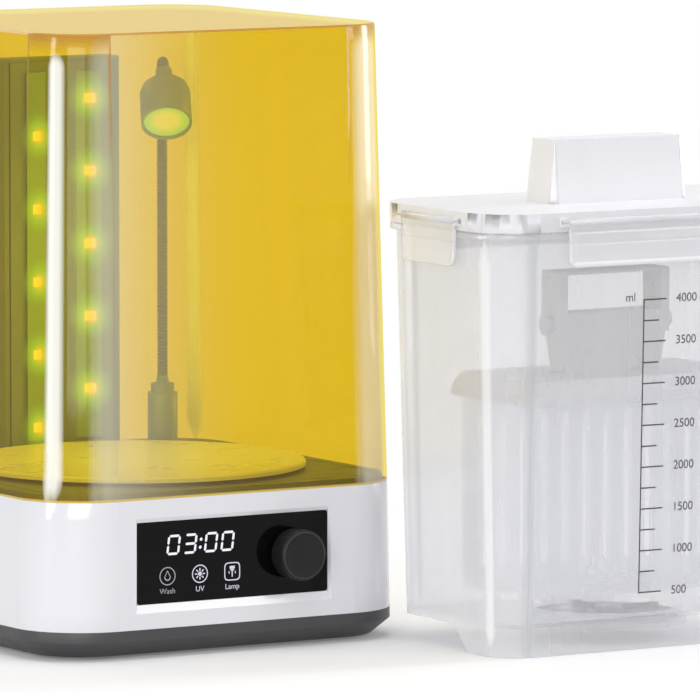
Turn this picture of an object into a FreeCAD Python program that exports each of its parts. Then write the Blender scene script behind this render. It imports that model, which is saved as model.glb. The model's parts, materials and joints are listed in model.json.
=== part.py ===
import FreeCAD, Part
import math
import os
import re
import Sketcher

# Resin wash and cure station: a curing machine with a lift-off cover, and its wash tub.
# Machine frame: X along the front, Y to the back, Z up, centred on the machine, floor at zero.
# Tub frame: the same directions, centred on the tub.  All sizes are in millimetres or degrees.

SIZES = {
    # machine base
    "base_width": 225.0,
    "base_depth": 235.8,
    "base_corner": 40.0,
    "foot_height": 1.5,
    "foot_radius": 8.0,
    "foot_inset": 34.0,
    "foot_seat": 1.5,
    "tray_top": 15.75,
    "tray_band": 6.0,
    "tray_inset": 10.0,
    "tray_wall": 3.0,
    "shell_top": 84.3,
    "shell_draft": 1.17,
    "shell_wall": 4.0,
    "flange_thick": 3.0,
    "flange_width": 12.0,
    "boss_radius": 5.0,
    "boss_inset": 24.0,
    "screw_radius": 1.6,
    "screw_head": 3.0,
    "screw_length": 16.0,
    "screw_fit": 0.2,
    "head_fit": 0.3,
    "head_thick": 1.6,
    "head_sink": 2.0,
    "overshoot": 1.0,
    "hole_depth": 20.0,
    # cover and deck
    "cover_top": 331.0,
    "cover_draft": 1.58,
    "cover_wall": 2.5,
    "cover_edge": 1.2,
    "deck_top": 88.0,
    "deck_gap": 0.6,
    "groove_inset": 7.0,
    "groove_width": 1.2,
    "groove_depth": 0.8,
    # control panel
    "panel_x": -2.0,
    "panel_z": 50.5,
    "panel_width": 117.5,
    "panel_height": 43.5,
    "panel_thick": 1.6,
    "panel_sink": 2.0,
    "panel_proud": 0.6,
    "panel_corner": 2.0,
    "panel_fit": 0.15,
    "bevel_side": 1.5,
    "bevel_tall": 4.5,
    "display_x": -22.0,
    "display_z": 59.4,
    "digit_width": 44.0,
    "digit_height": 12.5,
    "light_depth": 2.6,
    "icon_pitch": 19.9,
    "icon_z": 43.0,
    "icon_radius": 4.9,
    "window_width": 62.0,
    "window_height": 36.0,
    "window_x": -22.0,
    "board_thick": 1.6,
    "knob_x": 34.0,
    "knob_radius": 13.7,
    "knob_depth": 12.2,
    "knob_gap": 2.0,
    "knob_edge": 0.8,
    "knob_bore": 8.0,
    "shaft_radius": 3.0,
    "shaft_hole": 4.5,
    "encoder_size": 12.0,
    "encoder_depth": 6.5,
    "encoder_wall": 1.5,
    "press_room": 1.05,
    "plunger_step": 0.8,
    "run_fit": 0.05,
    # drive
    "drive_y": -10.0,
    "turntable_radius": 92.0,
    "turntable_thick": 3.0,
    "turntable_top": 93.0,
    "turntable_edge": 1.0,
    "hub_radius": 14.0,
    "pivot_radius": 4.0,
    "pivot_height": 3.2,
    "pivot_seat": 2.0,
    "glide_gap": 0.2,
    "yoke_radius": 38.0,
    "yoke_thick": 4.0,
    "yoke_gap": 1.8,
    "yoke_clear": 2.5,
    "magnet_radius": 5.0,
    "magnet_thick": 2.0,
    "magnet_circle": 28.0,
    "motor_radius": 21.0,
    "motor_height": 28.0,
    "motor_shaft": 2.5,
    "bracket_thick": 2.5,
    "bracket_width": 110.0,
    "bracket_depth": 56.0,
    "post_size": 8.0,
    "bearing_radius": 6.5,
    "can_wall": 3.0,
    "stator_thick": 6.0,
    "rotor_gap": 0.5,
    # main board and rear fittings
    "main_width": 90.0,
    "main_depth": 50.0,
    "main_y": 62.0,
    "standoff_height": 6.0,
    "standoff_radius": 3.0,
    "rear_z": 46.0,
    "inlet_x": 58.0,
    "inlet_radius": 5.5,
    "inlet_bore": 3.4,
    "inlet_pin": 1.0,
    "inlet_depth": 13.0,
    "switch_x": 30.0,
    "switch_width": 21.0,
    "switch_height": 15.0,
    "switch_flange": 1.5,
    "switch_depth": 12.0,
    "switch_wall": 0.8,
    "switch_fit": 0.2,
    "well_depth": 6.0,
    "rocker_fit": 0.8,
    "rocker_sink": 0.6,
    "rocker_thick": 2.8,
    "rocker_tilt": 9.0,
    # light tower
    "tower_x": 9.0,
    "tower_front": 86.0,
    "tower_width": 65.0,
    "tower_depth": 17.0,
    "tower_drop": 28.0,
    "fold_shift": 4.0,
    "fold_depth": 9.0,
    "strip_width": 14.0,
    "strip_margin": 6.0,
    "led_size": 5.0,
    "led_thick": 1.6,
    "led_low": 13.2,
    "led_high": 21.0,
    "led_stagger": 20.0,
    "trim_width": 3.0,
    "trim_gap": 0.8,
    "cap_thick": 2.0,
    # lamp on its flexible neck
    "lamp_x": 72.0,
    "lamp_y": 85.0,
    "lamp_yaw": -27.0,
    "socket_radius": 8.3,
    "socket_top": 117.0,
    "collar_radius": 6.5,
    "collar_height": 5.0,
    "neck_radius": 3.5,
    "ball_radius": 3.2,
    "ball_fit": 0.3,
    "lip": 2.0,
    "ball_neck": 0.8,
    "low_bend_z": 125.0,
    "mid_bend_z": 205.0,
    "arch_drop": 40.0,
    "arch_radius": 10.0,
    "arch_turn": 135.0,
    "stem_radius": 4.65,
    "stem_length": 12.0,
    "ring_height": 1.7,
    "ring_step": 1.6,
    "bell_radius": 14.0,
    "bell_length": 40.0,
    "bell_wall": 1.4,
    "bell_shoulder": 2.0,
    "shoulder_step": 1.2,
    "bell_fit": 0.1,
    "lamp_led_thick": 3.0,
    "lens_sink": 1.5,
    "lens_thick": 1.5,
    # tub
    "tub_tuck_x": 11.0,
    "tub_tuck_y": 8.4,
    "tub_width": 201.0,
    "tub_depth": 111.0,
    "tub_corner": 22.0,
    "tub_draft": 1.59,
    "tub_wall": 2.2,
    "tub_rim": 230.0,
    "tub_floor": 17.5,
    "floor_thick": 2.2,
    "well_radius": 42.0,
    "well_floor": 10.3,
    "arch_start": 34.0,
    "arch_slope": 14.0,
    "arch_height": 14.3,
    "rear_foot": 33.0,
    "rear_slope": 11.0,
    "catch_low": 222.0,
    "catch_thick": 3.0,
    "catch_gap": 0.2,
    "catch_root": 0.8,
    # impeller
    "impeller_radius": 39.0,
    "impeller_thick": 2.4,
    "impeller_gap": 0.6,
    "blade_height": 3.0,
    "blade_thick": 2.4,
    "blade_length": 22.0,
    "axle_radius": 2.5,
    "axle_height": 5.7,
    "axle_head": 4.0,
    "axle_cap": 1.2,
    "hub_wall": 1.5,
    "hub_sink": 0.4,
    "blade_start": 12.0,
    "impeller_circle": 20.0,
    "impeller_magnet": 1.0,
    # lid
    "lid_over_x": 3.1157,
    "lid_over_y": 1.1157,
    "lid_corner": 28.0,
    "lid_top": 236.0,
    "lid_thick": 2.5,
    "lid_skirt": 10.0,
    "lid_fit": 0.3,
    "gasket_inset": 0.2,
    "dome_width": 87.0,
    "dome_depth": 29.0,
    "dome_height": 34.0,
    "dome_corner": 4.0,
    "dome_draft": 6.0,
    "dome_wall": 2.0,
    # clip flaps
    "flap_long": 140.0,
    "flap_short": 60.0,
    "flap_drop": 24.0,
    "flap_thick": 2.2,
    "flap_gap": 1.0,
    "barrel_radius": 1.8,
    "hinge_z": 231.0,
    "hinge_pin": 1.2,
    "lug_width": 4.0,
    "side_play": 0.4,
    "rib_height": 4.0,
    "rib_z": 214.0,
    "rib_clear": 0.3,
    "rib_margin": 10.0,
    "pin_clear": 0.3,
    # basket
    "basket_width": 140.0,
    "basket_depth": 80.0,
    "basket_corner": 9.0,
    "basket_low": 28.0,
    "basket_top": 131.0,
    "basket_wall": 1.8,
    "basket_foot": 4.0,
    "basket_feet_x": 49.0,
    "slot_width": 6.0,
    "slot_low": 36.0,
    "slot_high": 118.0,
    "slot_margin": 16.0,
    "grid_slot": 5.0,
    "grid_rib": 4.0,
    "grid_margin": 10.0,
    # plate carrier
    "plate_width": 146.0,
    "plate_depth": 84.0,
    "plate_thick": 13.0,
    "plate_bevel": 8.0,
    "plate_corner": 3.0,
    "stalk_height": 20.0,
    "stalk_width": 59.0,
    "stalk_flare": 7.0,
    "block_width": 71.0,
    "block_depth": 17.6,
    "block_height": 35.0,
    "block_window_width": 59.0,
    "block_window_height": 20.5,
    "block_window_top": 2.0,
    "clamp_radius": 4.8,
    "clamp_axle": 3.0,
    "clamp_reach": 4.4,
    "clamp_rise": 6.5,
    "clamp_seat": 1.0,
}

COUNTS = {
    "yoke_magnets": 6,
    "leds_per_strip": 5,
    "blades": 4,
    "long_slots": 9,
    "short_slots": 5,
    "grid_slots": 12,
}

doc = FreeCAD.newDocument("wash_station")
sheet = doc.addObject("Spreadsheet::Sheet", "dims")
SUB_PARTS = []
Vector = FreeCAD.Vector
UP = Vector(0, 0, 1)


def fill_sheet():
    for row, (name, size) in enumerate({**SIZES, **COUNTS}.items(), start=1):
        sheet.set(f"A{row}", name)
        sheet.set(f"B{row}", str(size))
        sheet.setAlias(f"B{row}", name)
    doc.recompute()


def sized(expression):
    """An expression over size names, as the document's expression engine reads it."""
    def cell(match):
        word = match.group(0)
        return f"dims.{word}" if word in SIZES or word in COUNTS else word
    return re.sub(r"[a-z][a-z0-9_]*", cell, str(expression))


def value(expression):
    return float(sheet.evalExpression(sized(expression)))


def bind(item, **properties):
    for name, expression in properties.items():
        item.setExpression(name.replace("__", "."), sized(expression))


# Sizes that follow from the driving ones
SHELL_SLOPE = "tan(shell_draft * 1deg)"
COVER_SLOPE = "tan(cover_draft * 1deg)"
TUB_SLOPE = "tan(tub_draft * 1deg)"
HEAD_SEAT = "(foot_height + head_sink)"
SHELL_IN = f"((shell_top - tray_top) * {SHELL_SLOPE})"
TOP_X = f"(base_width / 2 - {SHELL_IN})"
TOP_Y = f"(base_depth / 2 - {SHELL_IN})"
TOP_CORNER = f"(base_corner - {SHELL_IN})"
FRONT_Y = f"(base_depth / 2 - {SHELL_IN} / 2)"
GLASS_FRONT = f"({FRONT_Y} - panel_sink + panel_proud)"
TURNTABLE_LOW = "(turntable_top - turntable_thick)"
YOKE_TOP = "(shell_top - yoke_gap)"
BRACKET_TOP = f"({YOKE_TOP} - yoke_thick - yoke_clear)"
MOTOR_TOP = f"({BRACKET_TOP} - bracket_thick)"
TRAY_FLOOR = "(foot_height + tray_wall)"
TOWER_TOP = "(cover_top - tower_drop)"
ARCH_Z = "(cover_top - arch_drop)"
LIGHTS_SPAN = f"({TOWER_TOP} - led_high - led_stagger - deck_top - led_low)"
TUB_X = "(base_width / 2 + tub_width / 2 - tub_tuck_x)"
TUB_Y = "(tub_tuck_y - base_depth / 2 - tub_depth / 2)"
LID_WIDTH = f"(tub_width + 2 * tub_rim * {TUB_SLOPE} + 2 * lid_over_x)"
LID_DEPTH = f"(tub_depth + 2 * tub_rim * {TUB_SLOPE} + 2 * lid_over_y)"


# Building blocks ------------------------------------------------------------------------------
def box(x, y, z, long, deep, tall):
    item = doc.addObject("Part::Box", "block")
    bind(item, Length=long, Width=deep, Height=tall)
    bind(item, Placement__Base__x=x, Placement__Base__y=y, Placement__Base__z=z)
    return item


def slab(x, y, z, long, deep, tall):
    """A box centred on x and y that starts at height z."""
    return box(f"{x} - ({long}) / 2", f"{y} - ({deep}) / 2", z, long, deep, tall)


def turn(item, axis, degrees):
    item.Placement = FreeCAD.Placement(item.Placement.Base, FreeCAD.Rotation(Vector(*axis), degrees))
    return item


def rod(x, y, z, radius, tall, axis="z"):
    """A cylinder that starts at a point and runs along +Z, +X or -Y (front)."""
    item = doc.addObject("Part::Cylinder", "rod")
    bind(item, Radius=radius, Height=tall)
    if axis == "x":
        turn(item, (0, 1, 0), 90)
    if axis == "front":
        turn(item, (1, 0, 0), 90)
    bind(item, Placement__Base__x=x, Placement__Base__y=y, Placement__Base__z=z)
    return item


def taper(x, y, z, low_radius, high_radius, tall, axis="z"):
    item = doc.addObject("Part::Cone", "taper")
    bind(item, Radius1=low_radius, Radius2=high_radius, Height=tall)
    if axis == "front":
        turn(item, (1, 0, 0), 90)
    bind(item, Placement__Base__x=x, Placement__Base__y=y, Placement__Base__z=z)
    return item


def ball(x, y, z, radius):
    item = doc.addObject("Part::Sphere", "ball")
    bind(item, Radius=radius)
    bind(item, Placement__Base__x=x, Placement__Base__y=y, Placement__Base__z=z)
    return item


def fuse(*items):
    if len(items) == 1:
        return items[0]
    result = doc.addObject("Part::MultiFuse", "joined")
    result.Shapes = list(items)
    return result


def cut(base, *tools):
    result = doc.addObject("Part::Cut", "trimmed")
    result.Base = base
    result.Tool = fuse(*tools)
    return result


def new_body():
    return doc.addObject("PartDesign::Body", "body")


def new_sketch(body, plane, offset="0", across="0", along="0"):
    sketch = body.newObject("Sketcher::SketchObject", "outline")
    origin = [item for item in body.Origin.OriginFeatures if item.Role == plane]
    sketch.AttachmentSupport = [(origin[0], "")]
    sketch.MapMode = "FlatFace"
    bind(sketch, AttachmentOffset__Base__x=across, AttachmentOffset__Base__y=along)
    bind(sketch, AttachmentOffset__Base__z=offset)
    return sketch


def constrain(sketch, constraint, name, expression):
    index = sketch.addConstraint(constraint)
    sketch.renameConstraint(index, name)
    sketch.setExpression(f"Constraints.{name}", sized(expression))


def rounded(sketch, half_x, half_y, corner):
    """A rectangle with round corners, centred on the sketch."""
    first = sketch.GeometryCount
    wide, deep, radius = value(half_x), value(half_y), value(corner)
    in_x, in_y = wide - radius, deep - radius
    ends = [((-in_x, -deep), (in_x, -deep)), ((wide, -in_y), (wide, in_y)),
            ((in_x, deep), (-in_x, deep)), ((-wide, in_y), (-wide, -in_y))]
    lines = [Part.LineSegment(Vector(*start), Vector(*end)) for start, end in ends]
    centres = [(in_x, -in_y), (in_x, in_y), (-in_x, in_y), (-in_x, -in_y)]
    arcs = []
    for quarter, centre in enumerate(centres):
        circle = Part.Circle(Vector(*centre), UP, radius)
        start = math.radians(90 * quarter - 90)
        arcs.append(Part.ArcOfCircle(circle, start, start + math.pi / 2))
    sketch.addGeometry(lines + arcs, False)
    make = Sketcher.Constraint
    rules = []
    for side in range(4):
        rules.append(make("Tangent", first + side, 2, first + 4 + side, 1))
        rules.append(make("Tangent", first + 4 + side, 2, first + (side + 1) % 4, 1))
        rules.append(make("Horizontal" if side % 2 == 0 else "Vertical", first + side))
    for arc in (5, 6, 7):
        rules.append(make("Equal", first + 4, first + arc))
    sketch.addConstraint(rules)
    tag = f"_{first}"
    constrain(sketch, make("Radius", first + 4, radius), "corner" + tag, corner)
    constrain(sketch, make("DistanceX", -1, 1, first + 1, 1, wide), "right" + tag, half_x)
    constrain(sketch, make("DistanceX", first + 3, 1, -1, 1, wide), "left" + tag, half_x)
    constrain(sketch, make("DistanceY", first, 1, -1, 1, deep), "front" + tag, half_y)
    constrain(sketch, make("DistanceY", -1, 1, first + 2, 1, deep), "back" + tag, half_y)


def polygon(sketch, corners):
    """A closed outline with straight sides through corners given as expressions."""
    first = sketch.GeometryCount
    points = [Vector(value(across), value(along)) for across, along in corners]
    count = len(points)
    lines = [Part.LineSegment(points[i], points[(i + 1) % count]) for i in range(count)]
    sketch.addGeometry(lines, False)
    make = Sketcher.Constraint
    for i, (across, along) in enumerate(corners):
        line = first + i
        sketch.addConstraint(make("Coincident", line, 2, first + (i + 1) % count, 1))
    for i, (across, along) in enumerate(corners):
        line = first + i
        for kind, expression, rail in (("DistanceX", across, -2), ("DistanceY", along, -1)):
            size = value(expression)
            if abs(size) < 1e-9:
                sketch.addConstraint(make("PointOnObject", line, 1, rail))
            else:
                rule = make(kind, -1, 1, line, 1, size)
                constrain(sketch, rule, f"{kind}_{first}_{i}", expression)


def circle(sketch, radius):
    index = sketch.addGeometry(Part.Circle(Vector(0, 0), UP, value(radius)), False)
    sketch.addConstraint(Sketcher.Constraint("Coincident", index, 3, -1, 1))
    rule = Sketcher.Constraint("Radius", index, value(radius))
    constrain(sketch, rule, f"radius_{index}", radius)


def grow(body, sketch, length, draft=None, kind="Pad", backwards=False, both_ways=False):
    """Pads or pockets a sketch, and checks that the solid really changed."""
    doc.recompute()
    before = body.Shape.Volume if body.Tip else 0.0
    step = body.newObject(f"PartDesign::{kind}", kind.lower())
    step.Profile = sketch
    step.Length = value(length)
    bind(step, Length=length)
    if draft:
        bind(step, TaperAngle=draft)
    step.Reversed = backwards
    if both_ways:
        step.Midplane = True
    body.Tip = step
    doc.recompute()
    change = body.Shape.Volume - before
    if (change <= 0) if kind == "Pad" else (change >= 0):
        raise RuntimeError(f"{body.Name}: a {kind} changed nothing")
    return step


def repeat(body, step, sketch, length, count):
    row = body.newObject("PartDesign::LinearPattern", "row")
    row.Originals = [step]
    row.Direction = (sketch, ["H_Axis"])
    row.Length = value(length)
    bind(row, Length=length, Occurrences=count)
    body.Tip = row
    doc.recompute()
    return row


def shell_outline(body, low, half_x, half_y, corner, height, draft=None, kind="Pad"):
    """Pads or pockets a rounded rectangle upwards from height low."""
    sketch = new_sketch(body, "XY_Plane", low)
    rounded(sketch, half_x, half_y, corner)
    return grow(body, sketch, height, draft, kind, backwards=(kind == "Pocket"))


def disc(body, low, radius, height, y="0", kind="Pad"):
    sketch = new_sketch(body, "XY_Plane", low, "0", y)
    circle(sketch, radius)
    return grow(body, sketch, height, None, kind, backwards=(kind == "Pocket"))


def prism(plane, corners, length, offset="0"):
    """A body padded both ways from a straight-sided outline."""
    body = new_body()
    sketch = new_sketch(body, plane, offset)
    polygon(sketch, corners)
    grow(body, sketch, length, both_ways=True)
    return body


# Places ---------------------------------------------------------------------------------------
# The part's origin is under the middle of everything: the machine's left side and back fittings
# are outermost on one side, the tub's clip flaps on the other.
FLAP_OUT = "(flap_gap + flap_thick / 2 + barrel_radius)"
LEFT_END = "(-base_width / 2)"
RIGHT_END = f"({TUB_X} + {LID_WIDTH} / 2 + {FLAP_OUT})"
FRONT_END = f"({TUB_Y} - {LID_DEPTH} / 2 - {FLAP_OUT})"
BACK_END = "(base_depth / 2)"
ORIGIN_X = f"(({LEFT_END} + {RIGHT_END}) / 2)"
ORIGIN_Y = f"(({FRONT_END} + {BACK_END}) / 2)"
PLACES = {"machine": ("0", "0"), "tub": (TUB_X, TUB_Y), "lamp": ("lamp_x", "lamp_y")}


def sub_part(label, item, place="machine", rotation=None, reach="0", rise="0"):
    """Names a finished piece and puts it in its place; reach and rise serve the lamp's head."""
    if item.TypeId in ("Part::Box", "Part::Cylinder"):
        single = doc.addObject("Part::Compound", "single")
        single.Links = [item]
        item = single
    item.Label = label
    across, along = PLACES[place]
    if place == "lamp":
        spin = FreeCAD.Rotation(UP, value("lamp_yaw"))
        across = f"{across} + ({reach}) * sin(lamp_yaw * 1deg)"
        along = f"{along} - ({reach}) * cos(lamp_yaw * 1deg)"
        item.Placement = FreeCAD.Placement(Vector(), spin * rotation if rotation else spin)
    bind(item, Placement__Base__x=f"{across} - {ORIGIN_X}", Placement__Base__y=f"{along} - {ORIGIN_Y}")
    bind(item, Placement__Base__z=rise)
    SUB_PARTS.append(item)
    return item


# Machine base ---------------------------------------------------------------------------------
def corner_points(inset):
    """The four places, inset from the machine's sides, where feet or screws go."""
    across = f"(base_width / 2 - {inset})"
    along = f"(base_depth / 2 - {inset})"
    return [(f"{sx} * {across}", f"{sy} * {along}") for sx in (-1, 1) for sy in (-1, 1)]


def make_bottom_tray():
    body = new_body()
    rise = "(tray_top - tray_band - foot_height)"
    narrow = "tray_inset"
    shell_outline(body, "foot_height", f"base_width / 2 - {narrow}", f"base_depth / 2 - {narrow}",
                  f"base_corner - {narrow}", rise, f"atan({narrow} / {rise})")
    shell_outline(body, "tray_top - tray_band", "base_width / 2", "base_depth / 2", "base_corner",
                  "tray_band")
    inner = f"({narrow} + tray_wall)"
    shell_outline(body, TRAY_FLOOR, f"base_width / 2 - {inner}", f"base_depth / 2 - {inner}",
                  f"base_corner - {inner}", f"tray_top - {TRAY_FLOOR}", None, "Pocket")
    pillars = [rod(x, y, TRAY_FLOOR, "boss_radius", f"tray_top - {TRAY_FLOOR}")
               for x, y in corner_points("boss_inset")]
    holes = []
    for x, y in corner_points("boss_inset"):
        holes.append(rod(x, y, "0", "screw_radius + screw_fit", "tray_top + overshoot"))
        holes.append(rod(x, y, "0", "screw_head + head_fit", HEAD_SEAT))
    holes += [rod(x, y, "0", "foot_radius", "foot_height + foot_seat")
              for x, y in corner_points("foot_inset")]
    sub_part("bottom_tray", cut(fuse(body, *pillars), *holes))


def make_feet():
    feet = [rod(x, y, "0", "foot_radius", "foot_height + foot_seat") for x, y in corner_points("foot_inset")]
    sub_part("rubber_feet", fuse(*feet))


def make_screws():
    screws = []
    for x, y in corner_points("boss_inset"):
        head = rod(x, y, f"{HEAD_SEAT} - head_thick", "screw_head", "head_thick")
        shank = rod(x, y, HEAD_SEAT, "screw_radius", "screw_length")
        screws.append(fuse(head, shank))
    sub_part("base_screws", fuse(*screws))


def make_base_shell():
    body = new_body()
    height = "(shell_top - tray_top)"
    shell_outline(body, "tray_top", "base_width / 2", "base_depth / 2", "base_corner", height,
                  "-shell_draft")
    wall = "shell_wall"
    shell_outline(body, "tray_top", f"base_width / 2 - {wall}", f"base_depth / 2 - {wall}",
                  f"base_corner - {wall}", f"{height} - flange_thick", "-shell_draft", "Pocket")
    shell_outline(body, "shell_top - flange_thick - overshoot", f"{TOP_X} - flange_width",
                  f"{TOP_Y} - flange_width", f"{TOP_CORNER} - flange_width", "flange_thick + overshoot", None,
                  "Pocket")
    bosses = [rod(x, y, "tray_top", "boss_radius", f"{height} - flange_thick")
              for x, y in corner_points("boss_inset")]
    screw_holes = [rod(x, y, "tray_top - overshoot", "screw_radius", "screw_length")
                   for x, y in corner_points("boss_inset")]
    half_wide = "(panel_width / 2 + panel_fit)"
    half_tall = "(panel_height / 2 + panel_fit)"
    recess = doc.addObject("Part::Wedge", "recess")
    bind(recess, Xmin=f"-{half_wide} - bevel_side", Xmax=f"{half_wide} + bevel_side",
         X2min=f"-{half_wide}", X2max=half_wide, Zmin=f"-{half_tall} - bevel_tall",
         Zmax=f"{half_tall} + bevel_tall", Z2min=f"-{half_tall}", Z2max=half_tall,
         Ymin="0", Ymax="panel_sink")
    bind(recess, Placement__Base__x="panel_x", Placement__Base__z="panel_z",
         Placement__Base__y=f"-{GLASS_FRONT} - panel_sink")
    seat = slab("panel_x", f"-{GLASS_FRONT} + panel_thick / 2", f"panel_z - {half_tall}",
                f"2 * {half_wide}", "panel_thick", f"2 * {half_tall}")
    window = slab("window_x", f"-{FRONT_Y}", "panel_z - window_height / 2",
                  "window_width", "hole_depth", "window_height")
    shaft = rod("knob_x", f"-{FRONT_Y} + hole_depth / 2", "panel_z", "shaft_hole", "hole_depth", "front")
    inlet = rod("inlet_x", "base_depth / 2 + overshoot", "rear_z", "inlet_radius", "hole_depth", "front")
    switch = slab("switch_x", "base_depth / 2", "rear_z - switch_height / 2 + switch_flange",
                  "switch_width - 2 * switch_flange", "hole_depth", "switch_height - 2 * switch_flange")
    sub_part("base_shell", cut(fuse(body, *bosses), *screw_holes, recess, seat, window, shaft, inlet, switch))


def make_deck():
    body = new_body()
    rim = "(cover_wall + deck_gap)"
    half_x, half_y, corner = f"({TOP_X} - {rim})", f"({TOP_Y} - {rim})", f"({TOP_CORNER} - {rim})"
    shell_outline(body, "shell_top", half_x, half_y, corner, "deck_top - shell_top")
    ring = new_sketch(body, "XY_Plane", "deck_top - groove_depth")
    for inset in ("groove_inset", "(groove_inset + groove_width)"):
        rounded(ring, f"{half_x} - {inset}", f"{half_y} - {inset}", f"{corner} - {inset}")
    grow(body, ring, "groove_depth + overshoot", None, "Pocket", backwards=True)
    seat = "(deck_top - pivot_seat)"
    disc(body, seat, "pivot_radius + run_fit", "pivot_seat + overshoot", "drive_y", "Pocket")
    sub_part("deck_plate", body)
    sub_part("centre_pin", rod("0", "drive_y", seat, "pivot_radius", "pivot_seat + pivot_height"))


def make_cover():
    body = new_body()
    wall = "cover_wall"
    sides = "(cover_top - cover_edge - shell_top)"
    shell_outline(body, "shell_top", TOP_X, TOP_Y, TOP_CORNER, sides, "-cover_draft")
    lean = f"{sides} * {COVER_SLOPE}"
    shell_outline(body, "cover_top - cover_edge", f"{TOP_X} - {lean}", f"{TOP_Y} - {lean}",
                  f"{TOP_CORNER} - {lean}", "cover_edge", "-35")
    shell_outline(body, "shell_top", f"{TOP_X} - {wall}", f"{TOP_Y} - {wall}", f"{TOP_CORNER} - {wall}",
                  f"cover_top - shell_top - {wall}", "-cover_draft", "Pocket")
    sub_part("uv_cover", body)


# Control panel --------------------------------------------------------------------------------
def make_panel():
    body = new_body()
    sketch = new_sketch(body, "XZ_Plane", f"{GLASS_FRONT} - panel_thick", "panel_x", "panel_z")
    rounded(sketch, "panel_width / 2", "panel_height / 2", "panel_corner")
    grow(body, sketch, "panel_thick")
    shaft = rod("knob_x", f"-{GLASS_FRONT} + hole_depth / 2", "panel_z", "shaft_hole", "hole_depth", "front")
    sub_part("panel_glass", cut(body, shaft))


BOARD_FRONT = f"({FRONT_Y} - {SHELL_IN} / 2 - shell_wall - 1)"


def make_display():
    board = slab("panel_x", f"-{BOARD_FRONT} + board_thick / 2", "panel_z - panel_height / 2",
                 "panel_width - 4", "board_thick", "panel_height")
    hole = rod("knob_x", f"-{BOARD_FRONT} + hole_depth / 2", "panel_z", "shaft_hole", "hole_depth", "front")
    sub_part("display_board", cut(board, hole))
    digits = slab("display_x", f"-{BOARD_FRONT} - light_depth / 2", "display_z - digit_height / 2",
                  "digit_width", "light_depth", "digit_height")
    sub_part("digit_module", digits)
    lights = [rod(f"display_x + {step} * icon_pitch", f"-{BOARD_FRONT}", "icon_z", "icon_radius",
                  "light_depth", "front") for step in (-1, 0, 1)]
    sub_part("mode_lights", fuse(*lights))


def make_knob():
    front = f"(-{GLASS_FRONT} - knob_gap)"
    face = "(knob_depth - knob_edge)"
    knob = fuse(rod("knob_x", front, "panel_z", "knob_radius", face, "front"),
                taper("knob_x", f"{front} - {face}", "panel_z", "knob_radius", "knob_radius - knob_edge",
                      "knob_edge", "front"))
    bore = rod("knob_x", f"{front} + overshoot", "panel_z", "shaft_radius", "knob_bore + overshoot", "front")
    sub_part("control_knob", cut(knob, bore))
    shaft_back = f"(-{BOARD_FRONT} + board_thick + encoder_depth / 2)"
    length = f"({shaft_back} - {front} + knob_bore)"
    sub_part("encoder_shaft", rod("knob_x", shaft_back, "panel_z", "shaft_radius", length, "front"))
    back = f"(-{BOARD_FRONT} + board_thick)"
    can = slab("knob_x", f"{back} + encoder_depth / 2", "panel_z - encoder_size / 2",
               "encoder_size", "encoder_depth", "encoder_size")
    bore = rod("knob_x", f"{back} + encoder_depth - encoder_wall", "panel_z", "shaft_radius + run_fit",
               "hole_depth", "front")
    sub_part("encoder_body", cut(can, bore))
    gap = f"({back} + encoder_depth - encoder_wall - {shaft_back})"
    sub_part("encoder_plunger", rod("knob_x", f"{shaft_back} + {gap} - press_room", "panel_z",
                                    "shaft_radius - plunger_step", f"{gap} - press_room", "front"))


# Drive ----------------------------------------------------------------------------------------
def ring_points(circle_radius, count, y="drive_y"):
    for step in range(int(value(count))):
        angle = f"{step} * 360deg / {count}"
        yield f"{circle_radius} * cos({angle})", f"{y} + {circle_radius} * sin({angle})"


def make_motor():
    plate = slab("0", "drive_y", f"{BRACKET_TOP} - bracket_thick", "bracket_width", "bracket_depth",
                 "bracket_thick")
    posts = [slab(f"{sx} * (bracket_width - post_size) / 2",
                  f"drive_y + {sy} * (bracket_depth - post_size) / 2", BRACKET_TOP,
                  "post_size", "post_size", f"shell_top - {BRACKET_TOP}")
             for sx in (-1, 1) for sy in (-1, 1)]
    through = "bracket_thick + 2 * overshoot"
    hole = rod("0", "drive_y", f"{MOTOR_TOP} - overshoot", "bearing_radius", through)
    sub_part("motor_bracket", cut(fuse(plate, *posts), hole))
    can = rod("0", "drive_y", f"{MOTOR_TOP} - motor_height", "motor_radius", "motor_height")
    inside = rod("0", "drive_y", f"{MOTOR_TOP} - motor_height + can_wall", "motor_radius - stator_thick",
                 "motor_height - 2 * can_wall")
    neck = rod("0", "drive_y", f"{MOTOR_TOP} - can_wall - overshoot", "motor_shaft + rotor_gap",
               "can_wall + 2 * overshoot")
    sub_part("motor_can", cut(can, inside, neck))
    ring = rod("0", "drive_y", MOTOR_TOP, "bearing_radius", "bracket_thick")
    bore = rod("0", "drive_y", f"{MOTOR_TOP} - overshoot", "motor_shaft + run_fit", through)
    sub_part("shaft_bearing", cut(ring, bore))
    end = "(can_wall + rotor_gap)"
    shaft = rod("0", "drive_y", f"{MOTOR_TOP} - motor_height + {end}", "motor_shaft",
                f"{YOKE_TOP} - yoke_thick / 2 - {MOTOR_TOP} + motor_height - {end}")
    rotor = rod("0", "drive_y", f"{MOTOR_TOP} - motor_height + {end}",
                "motor_radius - stator_thick - rotor_gap", f"motor_height - 2 * {end}")
    sub_part("motor_rotor", fuse(shaft, rotor))


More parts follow.
